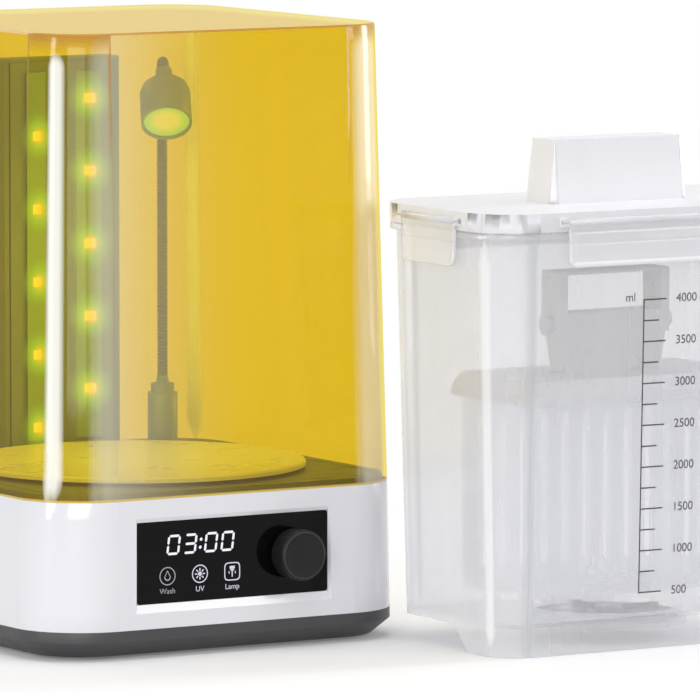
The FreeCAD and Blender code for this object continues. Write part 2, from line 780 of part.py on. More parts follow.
def make_yoke():
    disk = rod("0", "drive_y", f"{YOKE_TOP} - yoke_thick", "yoke_radius", "yoke_thick")
    seats = [rod(x, y, f"{YOKE_TOP} - magnet_thick", "magnet_radius", "magnet_thick + overshoot")
             for x, y in ring_points("magnet_circle", "yoke_magnets")]
    bore = rod("0", "drive_y", f"{YOKE_TOP} - yoke_thick - overshoot", "motor_shaft",
               "yoke_thick / 2 + overshoot")
    sub_part("magnet_yoke", cut(disk, bore, *seats))
    magnets = [rod(x, y, f"{YOKE_TOP} - magnet_thick", "magnet_radius", "magnet_thick")
               for x, y in ring_points("magnet_circle", "yoke_magnets")]
    sub_part("drive_magnets", fuse(*magnets))


def make_turntable():
    body = new_body()
    sketch = new_sketch(body, "XZ_Plane", "-drive_y")
    hub_low = "(deck_top + glide_gap)"
    pivot = "(pivot_radius + run_fit)"
    ceiling = "(deck_top + pivot_height)"
    polygon(sketch, [("0", "turntable_top"), ("turntable_radius - turntable_edge", "turntable_top"),
                     ("turntable_radius", "turntable_top - turntable_edge"),
                     ("turntable_radius", TURNTABLE_LOW), ("hub_radius", TURNTABLE_LOW),
                     ("hub_radius", hub_low), (pivot, hub_low), (pivot, ceiling), ("0", ceiling)])
    turned = body.newObject("PartDesign::Revolution", "turned")
    turned.Profile = sketch
    turned.ReferenceAxis = (sketch, ["V_Axis"])
    turned.Angle = 360
    body.Tip = turned
    seats = [rod(x, y, f"{TURNTABLE_LOW} - overshoot", "magnet_radius", "magnet_thick + overshoot")
             for x, y in ring_points("magnet_circle", "yoke_magnets")]
    sub_part("turntable_disc", cut(body, *seats))
    magnets = [rod(x, y, TURNTABLE_LOW, "magnet_radius", "magnet_thick")
               for x, y in ring_points("magnet_circle", "yoke_magnets")]
    sub_part("turntable_magnets", fuse(*magnets))


# Electronics and rear fittings ----------------------------------------------------------------
def make_main_board():
    board_z = f"({TRAY_FLOOR} + standoff_height)"
    spots = [(f"{sx} * (main_width / 2 - 5)", f"main_y + {sy} * (main_depth / 2 - 5)")
             for sx in (-1, 1) for sy in (-1, 1)]
    posts = [rod(x, y, TRAY_FLOOR, "standoff_radius", "standoff_height") for x, y in spots]
    sub_part("board_posts", fuse(*posts))
    board = slab("0", "main_y", board_z, "main_width", "main_depth", "board_thick")
    top = f"({board_z} + board_thick)"
    parts = [slab("-28", "main_y + 8", top, "16", "16", "9"), slab("0", "main_y", top, "14", "14", "2"),
             slab("28", "main_y - 10", top, "22", "8", "10"), rod("24", "main_y + 12", top, "5", "13")]
    sub_part("main_board", fuse(board, *parts))


def make_rear_fittings():
    wall = f"(base_depth / 2 - (rear_z - tray_top) * {SHELL_SLOPE})"
    sleeve = rod("inlet_x", wall, "rear_z", "inlet_radius - switch_fit / 2", "inlet_depth", "front")
    hollow = rod("inlet_x", f"{wall} + overshoot", "rear_z", "inlet_bore", "inlet_depth - 2 * overshoot",
                 "front")
    pin = rod("inlet_x", f"{wall} - 2 * inlet_pin", "rear_z", "inlet_pin", "inlet_depth - 3 * inlet_pin",
              "front")
    sub_part("dc_inlet", fuse(cut(sleeve, hollow), pin))
    open_x = "(switch_width - 2 * switch_flange - switch_fit)"
    open_z = "(switch_height - 2 * switch_flange - switch_fit)"
    housing = slab("switch_x", f"{wall} - switch_depth / 2", f"rear_z - {open_z} / 2", open_x, "switch_depth",
                   open_z)
    well = slab("switch_x", f"{wall} - (well_depth - overshoot) / 2",
                f"rear_z - {open_z} / 2 + switch_wall", f"{open_x} - 2 * switch_wall",
                "well_depth + overshoot", f"{open_z} - 2 * switch_wall")
    sub_part("switch_housing", cut(housing, well))
    body = new_body()
    sketch = new_sketch(body, "YZ_Plane", "switch_x")
    half = f"({open_z} / 2 - switch_wall - rocker_fit)"
    face = f"({wall} - rocker_sink)"
    root = f"({face} - rocker_thick)"
    tilt = f"({half} * sin(rocker_tilt * 1deg))"
    polygon(sketch, [(f"{root} + {tilt} / 2", f"rear_z - {half}"), (f"{face} + {tilt}", f"rear_z - {half}"),
                     (f"{face} - {tilt} / 4", "rear_z"), (f"{face} - {tilt}", f"rear_z + {half}"),
                     (f"{root} - {tilt} / 2", f"rear_z + {half}")])
    grow(body, sketch, f"{open_x} - 2 * switch_wall - rocker_fit", both_ways=True)
    sub_part("power_rocker", body)


# Light tower ----------------------------------------------------------------------------------
TOWER_LEFT = "(tower_x - tower_width / 2)"
TOWER_RIGHT = "(tower_x + tower_width / 2)"
FOLD_X = "(tower_x + fold_shift)"
FOLD_Y = "(tower_front + fold_depth)"
LEFT_RUN = f"({FOLD_X} - {TOWER_LEFT})"
RIGHT_RUN = f"({TOWER_RIGHT} - {FOLD_X})"


def on_face(side, along, out):
    """A plan point on the tower's left or right face: along it from the outer edge, and out."""
    run = LEFT_RUN if side < 0 else RIGHT_RUN
    start = TOWER_LEFT if side < 0 else TOWER_RIGHT
    length = f"sqrt({run} ^ 2 + fold_depth ^ 2)"
    x = f"({start} - ({side}) * (({along}) * {run} - ({out}) * fold_depth) / {length})"
    y = f"(tower_front + (({along}) * fold_depth - ({out}) * {run}) / {length})"
    return x, y


def strip_outline(side, width, low, high):
    """A strip centred on one face, from out = low to out = high."""
    run = LEFT_RUN if side < 0 else RIGHT_RUN
    middle = f"(sqrt({run} ^ 2 + fold_depth ^ 2) / 2)"
    near, far = f"({middle} - ({width}) / 2)", f"({middle} + ({width}) / 2)"
    return [on_face(side, along, out) for along, out in ((near, low), (far, low), (far, high), (near, high))]


def upright(corners, low, tall):
    body = new_body()
    sketch = new_sketch(body, "XY_Plane", low)
    polygon(sketch, corners)
    grow(body, sketch, tall)
    return body


def make_tower():
    back = "(tower_front + tower_depth)"
    tall = f"({TOWER_TOP} - deck_top)"
    plan = [(TOWER_LEFT, "tower_front"), (FOLD_X, FOLD_Y), (TOWER_RIGHT, "tower_front"),
            (TOWER_RIGHT, back), (TOWER_LEFT, back)]
    sub_part("tower_housing", upright(plan, "deck_top", tall))
    trims = [box(x, "tower_front", "deck_top", "trim_width", "tower_depth", tall)
             for x in (f"{TOWER_LEFT} - trim_gap - trim_width", f"{TOWER_RIGHT} + trim_gap")]
    sub_part("tower_trims", fuse(*trims))
    reach = "(trim_gap + trim_width)"
    cap_plan = [(f"{TOWER_LEFT} - {reach}", "tower_front"), (TOWER_LEFT, "tower_front"), (FOLD_X, FOLD_Y),
                (TOWER_RIGHT, "tower_front"), (f"{TOWER_RIGHT} + {reach}", "tower_front"),
                (f"{TOWER_RIGHT} + {reach}", back), (f"{TOWER_LEFT} - {reach}", back)]
    sub_part("tower_cap", upright(cap_plan, TOWER_TOP, "cap_thick"))
    pitch = f"({LIGHTS_SPAN} / (leds_per_strip - 1))"
    for side, name, top in ((-1, "left", f"{TOWER_TOP} - led_high - led_stagger"),
                            (1, "right", f"{TOWER_TOP} - led_high")):
        strip = strip_outline(side, "strip_width", "0", "board_thick")
        low = "(deck_top + strip_margin)"
        sub_part(f"led_board_{name}", upright(strip, low, f"{TOWER_TOP} - strip_margin - {low}"))
        chips = []
        for step in range(int(value("leds_per_strip"))):
            chip = strip_outline(side, "led_size", "board_thick", "(board_thick + led_thick)")
            chips.append(upright(chip, f"{top} - {step} * {pitch} - led_size / 2", "led_size"))
        sub_part(f"leds_{name}", fuse(*chips))


# Lamp: built facing forward around its own post, then turned towards the turntable -------------
def neck_piece(low, high):
    """A length of neck with a socket at its lower bend and a ball at its upper bend."""
    tube = rod("0", "0", f"{low} + lip", "neck_radius", f"{high} - ball_neck - {low} - lip")
    socket = ball("0", "0", low, "ball_radius + ball_fit")
    return fuse(cut(tube, socket), ball("0", "0", high, "ball_radius"))


def make_lamp():
    sub_part("lamp_socket", rod("0", "0", "deck_top", "socket_radius", "socket_top - deck_top"), "lamp")
    collar = rod("0", "0", "socket_top", "collar_radius", "collar_height")
    stub = rod("0", "0", "socket_top", "neck_radius", "low_bend_z - ball_neck - socket_top")
    sub_part("lamp_swivel", fuse(collar, stub, ball("0", "0", "low_bend_z", "ball_radius")), "lamp")
    sub_part("lamp_neck_lower", neck_piece("low_bend_z", "mid_bend_z"), "lamp")
    riser = cut(rod("0", "0", "mid_bend_z + lip", "neck_radius", f"{ARCH_Z} - mid_bend_z - lip"),
                ball("0", "0", "mid_bend_z", "ball_radius + ball_fit"))
    bend = doc.addObject("Part::Torus", "bend")
    bind(bend, Radius1="arch_radius", Radius2="neck_radius", Angle3="arch_turn")
    turn(bend, (1, 1, 1), 120)
    bind(bend, Placement__Base__y="-arch_radius", Placement__Base__z=ARCH_Z)
    end = ball("0", "-arch_radius + arch_radius * cos(arch_turn * 1deg)",
               f"{ARCH_Z} + arch_radius * sin(arch_turn * 1deg)", "neck_radius")
    sub_part("lamp_neck_upper", fuse(riser, bend, end), "lamp")
    make_lamp_head()


HEAD_REACH = "(arch_radius - arch_radius * cos(arch_turn * 1deg))"
HEAD_RISE = f"({ARCH_Z} + arch_radius * sin(arch_turn * 1deg))"


def make_lamp_head():
    tilt = FreeCAD.Rotation(Vector(1, 0, 0), value("arch_turn") - 180)
    place = {"place": "lamp", "rotation": tilt, "reach": HEAD_REACH, "rise": HEAD_RISE}
    stem = cut(rod("0", "0", "-stem_length", "stem_radius", "stem_length - lip"),
               ball("0", "0", "0", "neck_radius + ball_fit"))
    sub_part("lamp_stem", stem, **place)
    rings = [rod("0", "0", f"-stem_length - {step + 1} * ring_height",
                 f"bell_radius - {2 - step} * ring_step - shoulder_step", "ring_height") for step in range(3)]
    shoulder = "(stem_length + 3 * ring_height + bell_shoulder)"
    rings.append(taper("0", "0", f"-{shoulder}", "bell_radius", "bell_radius - shoulder_step",
                       "bell_shoulder"))
    skirt = rod("0", "0", "-bell_length", "bell_radius", f"bell_length - {shoulder}")
    floor = f"(bell_length - {shoulder} - overshoot)"
    hollow = rod("0", "0", "-bell_length - overshoot", "bell_radius - bell_wall", f"{floor} + overshoot")
    sub_part("lamp_bell", cut(fuse(skirt, *rings), hollow), **place)
    inner = "(bell_radius - bell_wall - bell_fit)"
    sub_part("lamp_lens", rod("0", "0", "-bell_length + lens_sink", inner, "lens_thick"), **place)
    led = rod("0", "0", f"-bell_length + {floor} - lamp_led_thick", f"{inner} - lamp_led_thick",
              "lamp_led_thick")
    sub_part("lamp_led", led, **place)


# Tub ------------------------------------------------------------------------------------------
def tub_half(size, height):
    return f"({size} / 2 + ({height}) * {TUB_SLOPE})"


def make_tub():
    body = new_body()
    shell_outline(body, "0", "tub_width / 2", "tub_depth / 2", "tub_corner", "tub_rim", "tub_draft")
    shell_outline(body, "0", "tub_width / 2 - tub_wall", "tub_depth / 2 - tub_wall",
                  "tub_corner - tub_wall", "tub_floor - floor_thick", "tub_draft", "Pocket")
    disc(body, "well_floor - floor_thick", "well_radius + tub_wall", "tub_floor - well_floor")
    half_x, half_y = tub_half("tub_width", "tub_floor"), tub_half("tub_depth", "tub_floor")
    shell_outline(body, "tub_floor", f"{half_x} - tub_wall", f"{half_y} - tub_wall",
                  f"tub_corner + tub_floor * {TUB_SLOPE} - tub_wall", "tub_rim - tub_floor", "tub_draft",
                  "Pocket")
    disc(body, "well_floor", "well_radius", "tub_floor - well_floor", "0", "Pocket")
    catch = new_sketch(body, "XY_Plane", "catch_low")
    rounded(catch, f"{LID_WIDTH} / 2 - catch_gap", f"{LID_DEPTH} / 2 - catch_gap", "lid_corner - catch_gap")
    half_x, half_y = tub_half("tub_width", "catch_low"), tub_half("tub_depth", "catch_low")
    rounded(catch, f"{half_x} - catch_root", f"{half_y} - catch_root",
            f"tub_corner + catch_low * {TUB_SLOPE} - catch_root")
    grow(body, catch, "catch_thick")
    slope_low, past_back = "-tub_depth / 2 + arch_start", "tub_depth / 2 + hole_depth"
    side = prism("YZ_Plane", [(slope_low, "-overshoot"), (f"{slope_low} + arch_slope", "arch_height"),
                              (past_back, "arch_height"), (past_back, "-overshoot")],
                 "tub_width + hole_depth")
    foot_top = "(arch_height + overshoot)"
    foot = prism("XZ_Plane", [("-rear_foot", "-2 * overshoot"), ("rear_foot", "-2 * overshoot"),
                              ("rear_foot + rear_slope", foot_top), ("-rear_foot - rear_slope", foot_top)],
                 "2 * hole_depth", "-tub_depth / 2")
    keep_well = rod("0", "0", "-2 * overshoot", "well_radius + tub_wall", "tub_floor")
    arches = cut(side, foot, keep_well)
    sub_part("wash_tub", cut(body, arches), "tub")
    pin = rod("0", "0", "well_floor", "axle_radius", "axle_height")
    head = rod("0", "0", "well_floor + axle_height", "axle_head", "axle_cap")
    sub_part("impeller_axle", fuse(pin, head), "tub")


def make_impeller():
    low = "(well_floor + impeller_gap)"
    top = f"({low} + impeller_thick)"
    disk = rod("0", "0", low, "impeller_radius", "impeller_thick")
    hub = rod("0", "0", low, "axle_head + hub_wall", "axle_height - impeller_gap - hub_sink")
    parts = [disk, hub]
    for step in range(int(value("blades"))):
        blade = box("0", "0", "0", "blade_length", "blade_thick", "blade_height")
        angle = f"{step} * 360deg / blades"
        turn(blade, (0, 0, 1), 360 * step / value("blades"))
        bind(blade, Placement__Base__x=f"blade_start * cos({angle}) + blade_thick / 2 * sin({angle})",
             Placement__Base__y=f"blade_start * sin({angle}) - blade_thick / 2 * cos({angle})",
             Placement__Base__z=top)
        parts.append(blade)
    bore = rod("0", "0", f"{low} - overshoot", "axle_radius + run_fit", "hole_depth")
    spots = [(f"impeller_circle * cos(45deg + {k} * 90deg)", f"impeller_circle * sin(45deg + {k} * 90deg)")
             for k in range(4)]
    seats = [rod(x, y, f"{low} - overshoot", "magnet_radius", "impeller_magnet + overshoot")
             for x, y in spots]
    sub_part("impeller_disc", cut(fuse(*parts), bore, *seats), "tub")
    magnets = [rod(x, y, low, "magnet_radius", "impeller_magnet") for x, y in spots]
    sub_part("impeller_magnets", fuse(*magnets), "tub")


# Lid and its clip flaps -----------------------------------------------------------------------
def hinge_offset(size):
    return f"({size} / 2 + flap_gap + flap_thick / 2)"


def lug_pair(across_x, length, size):
    """Two hinge lugs on the lid, at the ends of one flap, on each of two opposite sides."""
    lugs, bores = [], []
    middle = f"(({length}) / 2 - lug_width / 2)"
    for side in (-1, 1):
        for end in (-1, 1):
            out = f"{side} * ({size} / 2 + (flap_gap + flap_thick) / 2 - 0.5)"
            deep = "(flap_gap + flap_thick + 1)"
            spot = f"{end} * {middle}"
            tall = "(2 * barrel_radius + 1)"
            low = f"hinge_z - {tall} / 2"
            if across_x:
                lugs.append(slab(spot, out, low, "lug_width", deep, tall))
                bores.append(rod(f"{spot} - lug_width", f"{side} * {hinge_offset(size)}", "hinge_z",
                                 "hinge_pin + run_fit", "2 * lug_width", "x"))
            else:
                lugs.append(slab(out, spot, low, deep, "lug_width", tall))
                bores.append(rod(f"{side} * {hinge_offset(size)}", f"{spot} + lug_width", "hinge_z",
                                 "hinge_pin + run_fit", "2 * lug_width", "front"))
    return lugs, bores


def make_lid():
    body = new_body()
    low = "(lid_top - lid_skirt)"
    shell_outline(body, low, f"{LID_WIDTH} / 2", f"{LID_DEPTH} / 2", "lid_corner", "lid_skirt")
    shell_outline(body, "lid_top", "dome_width / 2", "dome_depth / 2", "dome_corner", "dome_height",
                  "-dome_draft")
    rim_x = f"({tub_half('tub_width', 'tub_rim')} + lid_fit)"
    rim_y = f"({tub_half('tub_depth', 'tub_rim')} + lid_fit)"
    rim_corner = f"(tub_corner + tub_rim * {TUB_SLOPE} + lid_fit)"
    shell_outline(body, low, rim_x, rim_y, rim_corner, "lid_skirt - lid_thick", None, "Pocket")
    shell_outline(body, "lid_top - lid_thick", "dome_width / 2 - dome_wall", "dome_depth / 2 - dome_wall",
                  "dome_corner - dome_wall", "dome_height + lid_thick - dome_wall", "-dome_draft", "Pocket")
    front_lugs, front_bores = lug_pair(True, "flap_long", LID_DEPTH)
    side_lugs, side_bores = lug_pair(False, "flap_short", LID_WIDTH)
    sub_part("tub_lid", cut(fuse(body, *front_lugs, *side_lugs), *front_bores, *side_bores), "tub")
    ring = new_body()
    sketch = new_sketch(ring, "XY_Plane", "tub_rim")
    for step in ("gasket_inset", "(tub_wall - gasket_inset)"):
        inset = f"(lid_fit + {step})"
        rounded(sketch, f"{rim_x} - {inset}", f"{rim_y} - {inset}", f"{rim_corner} - {inset}")
    grow(ring, sketch, "lid_top - lid_thick - tub_rim")
    sub_part("lid_gasket", ring, "tub")


def make_flap(name, side, across_x, length, size):
    """One flap: a barrel with two end pins, a plate, and a rib that meets the tub's catch."""
    wide = f"({length} - 2 * lug_width - 2 * side_play)"
    line = f"({side}) * {hinge_offset(size)}"
    low = "(hinge_z - flap_drop)"
    plate_y = line
    rib_deep = "(flap_gap - rib_clear)"
    rib = f"({side}) * ({size} / 2 + rib_clear + ({rib_deep}) / 2)"
    pin = f"({length} - 2 * pin_clear)"
    if across_x:
        parts = [rod(f"-{wide} / 2", line, "hinge_z", "barrel_radius", wide, "x"),
                 rod(f"-{pin} / 2", line, "hinge_z", "hinge_pin", pin, "x"),
                 slab("0", plate_y, low, wide, "flap_thick", "flap_drop"),
                 slab("0", rib, "rib_z", f"{wide} - 2 * rib_margin", rib_deep, "rib_height")]
    else:
        parts = [rod(line, f"{wide} / 2", "hinge_z", "barrel_radius", wide, "front"),
                 rod(line, f"{pin} / 2", "hinge_z", "hinge_pin", pin, "front"),
                 slab(plate_y, "0", low, "flap_thick", wide, "flap_drop"),
                 slab(rib, "0", "rib_z", rib_deep, f"{wide} - 2 * rib_margin", "rib_height")]
    sub_part(name, fuse(*parts), "tub")


def make_flaps():
    make_flap("flap_front", "-1", True, "flap_long", LID_DEPTH)
    make_flap("flap_back", "1", True, "flap_long", LID_DEPTH)
    make_flap("flap_left", "-1", False, "flap_short", LID_WIDTH)
    make_flap("flap_right", "1", False, "flap_short", LID_WIDTH)


# Basket and plate carrier ---------------------------------------------------------------------
def slot_row(body, plane, size, count):
    """A row of upright slots through the two walls that face a plane."""
    span = f"({size} - 2 * slot_margin)"
    sketch = new_sketch(body, plane, "0", f"-{span} / 2", "(slot_low + slot_high) / 2")
    rounded(sketch, "slot_width / 2", "(slot_high - slot_low) / 2", "slot_width / 2 - 0.2")
    step = grow(body, sketch, "400", None, "Pocket", both_ways=True)
    repeat(body, step, sketch, span, count)


def make_basket():
    body = new_body()
    tall = "(basket_top - basket_low)"
    shell_outline(body, "basket_low", "basket_width / 2", "basket_depth / 2", "basket_corner", tall)
    wall = "basket_wall"
    shell_outline(body, f"basket_low + {wall}", f"basket_width / 2 - {wall}", f"basket_depth / 2 - {wall}",
                  f"basket_corner - {wall}", f"{tall} - {wall}", None, "Pocket")
    slot_row(body, "XZ_Plane", "basket_width", "long_slots")
    slot_row(body, "YZ_Plane", "basket_depth", "short_slots")
    reach = "(basket_depth / 4 - grid_rib)"
    span = "(basket_width - 2 * grid_margin)"
    for side in (-1, 1):
        sketch = new_sketch(body, "XY_Plane", "basket_low - overshoot", f"-{span} / 2",
                            f"({side}) * ({reach} + grid_rib / 2)")
        rounded(sketch, "grid_slot / 2", reach, "grid_slot / 2 - 0.2")
        step = grow(body, sketch, f"{wall} + 2 * overshoot", None, "Pocket", backwards=True)
        repeat(body, step, sketch, span, "grid_slots")
    feet = [rod(f"{sx} * basket_feet_x", f"{sy} * (basket_depth / 2 - basket_foot)", "tub_floor",
                "basket_foot", "basket_low - tub_floor") for sx in (-1, 1) for sy in (-1, 1)]
    sub_part("wash_basket", fuse(body, *feet), "tub")


def make_carrier():
    plate = new_body()
    shell_outline(plate, "basket_top", "plate_width / 2", "plate_depth / 2", "plate_corner",
                  "plate_thick - plate_bevel")
    step = "(plate_thick - plate_bevel)"
    shell_outline(plate, f"basket_top + {step}", "plate_width / 2", "plate_depth / 2", "plate_corner",
                  "plate_bevel", "-atan(1) * 0.7")
    sub_part("carrier_plate", plate, "tub")
    low = "(basket_top + plate_thick)"
    mid = f"({low} + stalk_height)"
    half_low, half_mid = "stalk_width / 2", "(stalk_width / 2 + stalk_flare / 2)"
    stalk = prism("XZ_Plane", [(f"-{half_low}", low), (half_low, low), (half_mid, mid),
                               (f"-{half_mid}", mid)], "block_depth")
    head = slab("0", "0", mid, "block_width", "block_depth", "block_height")
    window = slab("0", "0", f"{mid} + block_height - block_window_top - block_window_height",
                  "block_window_width", "block_depth + 2 * overshoot", "block_window_height")
    axle_z = f"({mid} + clamp_rise)"
    bore = rod("-block_width", "0", axle_z, "clamp_axle", "2 * block_width", "x")
    sub_part("carrier_block", cut(fuse(stalk, head), window, bore), "tub")
    axle = rod("-block_width / 2 - clamp_seat", "0", axle_z, "clamp_axle", "block_width + 2 * clamp_seat",
               "x")
    knobs = [rod("-block_width / 2 - clamp_reach", "0", axle_z, "clamp_radius", "clamp_reach", "x"),
             rod("block_width / 2", "0", axle_z, "clamp_radius", "clamp_reach", "x")]
    sub_part("carrier_clamp", fuse(axle, *knobs), "tub")


def build():
    fill_sheet()
    for make in (make_bottom_tray, make_feet, make_screws, make_base_shell, make_deck, make_cover,
                 make_panel, make_display, make_knob, make_motor, make_yoke, make_turntable,
                 make_main_board, make_rear_fittings, make_tower, make_lamp, make_tub, make_impeller,
                 make_lid, make_flaps, make_basket, make_carrier):
        make()
    doc.recompute()


def check_and_write():
    for item in doc.Objects:
        if "Invalid" in item.State or "Error" in item.State:
            raise RuntimeError(f"{item.Name} ({item.Label}) failed to build")
    for item in SUB_PARTS:
        if item.Shape.isNull() or not item.Shape.isValid():
            raise RuntimeError(f"{item.Label} has no valid shape")
    os.makedirs("parts", exist_ok=True)
    for item in SUB_PARTS:
        item.Shape.exportStep(f"parts/{item.Label}.step")
    print(len(SUB_PARTS), "sub-parts written")


build()
check_and_write()
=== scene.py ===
import json
import math
import bmesh
import bpy
from mathutils import Matrix, Vector


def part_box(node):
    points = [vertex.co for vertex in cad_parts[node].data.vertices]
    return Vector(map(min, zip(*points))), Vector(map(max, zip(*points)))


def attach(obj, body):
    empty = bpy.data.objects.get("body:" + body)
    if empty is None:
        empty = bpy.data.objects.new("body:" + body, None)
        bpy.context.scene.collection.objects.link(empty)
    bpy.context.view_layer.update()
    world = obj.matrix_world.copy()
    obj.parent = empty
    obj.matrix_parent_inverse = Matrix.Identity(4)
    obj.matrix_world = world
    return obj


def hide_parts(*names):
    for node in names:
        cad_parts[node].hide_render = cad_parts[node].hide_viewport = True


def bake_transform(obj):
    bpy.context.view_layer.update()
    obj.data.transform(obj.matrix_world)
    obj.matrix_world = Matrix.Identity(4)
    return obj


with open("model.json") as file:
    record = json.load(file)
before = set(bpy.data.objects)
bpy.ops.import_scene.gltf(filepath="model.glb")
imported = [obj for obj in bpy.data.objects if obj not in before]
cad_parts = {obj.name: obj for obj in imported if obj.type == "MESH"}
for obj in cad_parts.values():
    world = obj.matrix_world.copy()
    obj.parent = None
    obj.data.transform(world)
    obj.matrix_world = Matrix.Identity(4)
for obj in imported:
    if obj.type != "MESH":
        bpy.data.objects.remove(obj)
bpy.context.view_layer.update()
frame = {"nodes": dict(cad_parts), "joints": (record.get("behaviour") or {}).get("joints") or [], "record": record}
NODES = frame["nodes"]
MM = 0.001


# Places taken from the frame ------------------------------------------------------------------
def middle(node):
    low, high = (Vector(corner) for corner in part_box(node))
    return (low + high) / 2


def low_of(node):
    return Vector(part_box(node)[0])


def high_of(node):
    return Vector(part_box(node)[1])


MACHINE = Vector((middle("base_shell").x, middle("base_shell").y, 0))
TUB = Vector((middle("wash_tub").x, middle("wash_tub").y, 0))


# Camera ---------------------------------------------------------------------------------------
CAMERA_YAW = math.radians(31.52)
CAMERA_PITCH = math.radians(5.645)
CAMERA_PLACE = Vector((-2.2577, -3.9129, 0.5995))
CAMERA_LENS = 430.6


def make_camera():
    data = bpy.data.cameras.new("camera")
    data.lens = CAMERA_LENS
    data.sensor_width = 36
    data.clip_end = 50
    camera = bpy.data.objects.new("camera", data)
    bpy.context.scene.collection.objects.link(camera)
    camera.location = MACHINE + CAMERA_PLACE
    camera.rotation_euler = (math.pi / 2 - CAMERA_PITCH, 0, -CAMERA_YAW)
    bpy.context.scene.camera = camera


# Node materials -------------------------------------------------------------------------------
def linear(red, green, blue):
    """A colour given as 0-255 screen values, as shaders need it."""
    def channel(screen):
        share = screen / 255
        return share / 12.92 if share <= 0.04045 else ((share + 0.055) / 1.055) ** 2.4
    return channel(red), channel(green), channel(blue), 1.0


class Look:
    """A material under construction: makes nodes, links them and keeps the object coordinates."""

    def __init__(self, name):
        self.material = bpy.data.materials.new(name)
        self.material.use_nodes = True
        self.tree = self.material.node_tree
        self.tree.nodes.clear()
        self.output = self.tree.nodes.new("ShaderNodeOutputMaterial")
        self.place = self.node("ShaderNodeTexCoord").outputs["Object"]

    def node(self, kind, settings=None, **inputs):
        made = self.tree.nodes.new(kind)
        for name, setting in (settings or {}).items():
            setattr(made, name, setting)
        for name, given in inputs.items():
            self.feed(made.inputs[name.replace("_", " ")], given)
        return made

    def feed(self, socket, given):
        if isinstance(given, bpy.types.NodeSocket):
            self.tree.links.new(given, socket)
        else:
            socket.default_value = given

    def math(self, operation, first, second=0.0):
        made = self.tree.nodes.new("ShaderNodeMath")
        made.operation = operation
        self.feed(made.inputs[0], first)
        self.feed(made.inputs[1], second)
        return made.outputs[0]

    def noise(self, scale, detail=3.0, stretch=(1, 1, 1)):
        mapped = self.node("ShaderNodeMapping", Vector=self.place, Scale=stretch)
        made = self.node("ShaderNodeTexNoise", Vector=mapped.outputs[0], Scale=scale, Detail=detail)
        return made.outputs["Fac"]

    def spread(self, given, low, high, start=0.3, end=0.7):
        made = self.node("ShaderNodeMapRange", Value=given)
        for name, level in (("From Min", start), ("From Max", end), ("To Min", low), ("To Max", high)):
            made.inputs[name].default_value = level
        return made.outputs[0]

    def blend(self, share, first, second):
        made = self.node("ShaderNodeMix", {"data_type": "RGBA"})
        self.feed(made.inputs[0], share)
        self.feed(made.inputs[6], first)
        self.feed(made.inputs[7], second)
        return made.outputs[2]

    def bump(self, given, depth, strength=0.5):
        return self.node("ShaderNodeBump", Height=given, Strength=strength, Distance=depth).outputs[0]

    def gloss_share(self, straight, grazing):
        """How much of an outer face mirrors: little head-on, more at a glance, none from inside."""
        facing = self.node("ShaderNodeLayerWeight", Blend=0.5).outputs["Facing"]
        share = self.math("ADD", self.math("MULTIPLY", self.math("POWER", facing, 5.0), grazing), straight)
        inside = self.node("ShaderNodeNewGeometry").outputs["Backfacing"]
        return self.math("MULTIPLY", share, self.math("SUBTRACT", 1.0, inside))

    def towards(self, normal, way, start, end):
        """1 where the surface faces a way, 0 where it has turned off it."""
        made = self.node("ShaderNodeVectorMath", {"operation": "DOT_PRODUCT"})
        self.tree.links.new(normal, made.inputs[0])
        made.inputs[1].default_value = way
        return self.spread(made.outputs["Value"], 0, 1, start, end)

    def principled(self, **inputs):
        return self.node("ShaderNodeBsdfPrincipled", **inputs)

    def mix(self, share, first, second):
        made = self.node("ShaderNodeMixShader")
        self.feed(made.inputs[0], share)
        self.tree.links.new(first.outputs[0], made.inputs[1])
        self.tree.links.new(second.outputs[0], made.inputs[2])
        return made

    def show(self, shader):
        self.tree.links.new(shader.outputs[0], self.output.inputs["Surface"])
        return self.material


def plastic(name, colour, rough, grain=2500, depth=0.00006, strength=0.35, coat=0.0, vary=0.06,
            shine=0.5):
    """Moulded plastic or paint: fine grain, slow drift in tone, and uneven gloss."""
    look = Look(name)
    drift = look.noise(9, 2)
    dark = tuple(channel * (1 - vary) for channel in colour[:3]) + (1,)
    light = tuple(min(1, channel * (1 + vary)) for channel in colour[:3]) + (1,)
    tone = look.blend(look.spread(drift, 0, 1), dark, light)
    gloss = look.spread(look.noise(60, 4), rough * 0.85, rough * 1.2)
    shape = look.bump(look.noise(grain, 2), depth, strength)
    return look.show(look.principled(Base_Color=tone, Roughness=gloss, Normal=shape, Coat_Weight=coat,
                                     Coat_Roughness=0.06, Specular_IOR_Level=shine))


def brushed(name, colour, rough, stretch):
    look = Look(name)
    lines = look.noise(400, 4, stretch)
    tone = look.blend(look.spread(lines, 0, 1), tuple(c * 0.8 for c in colour[:3]) + (1,), colour)
    gloss = look.spread(lines, rough, rough * 1.6)
    shape = look.bump(lines, 0.00003, 0.4)
    return look.show(look.principled(Base_Color=tone, Metallic=1.0, Roughness=gloss, Normal=shape))


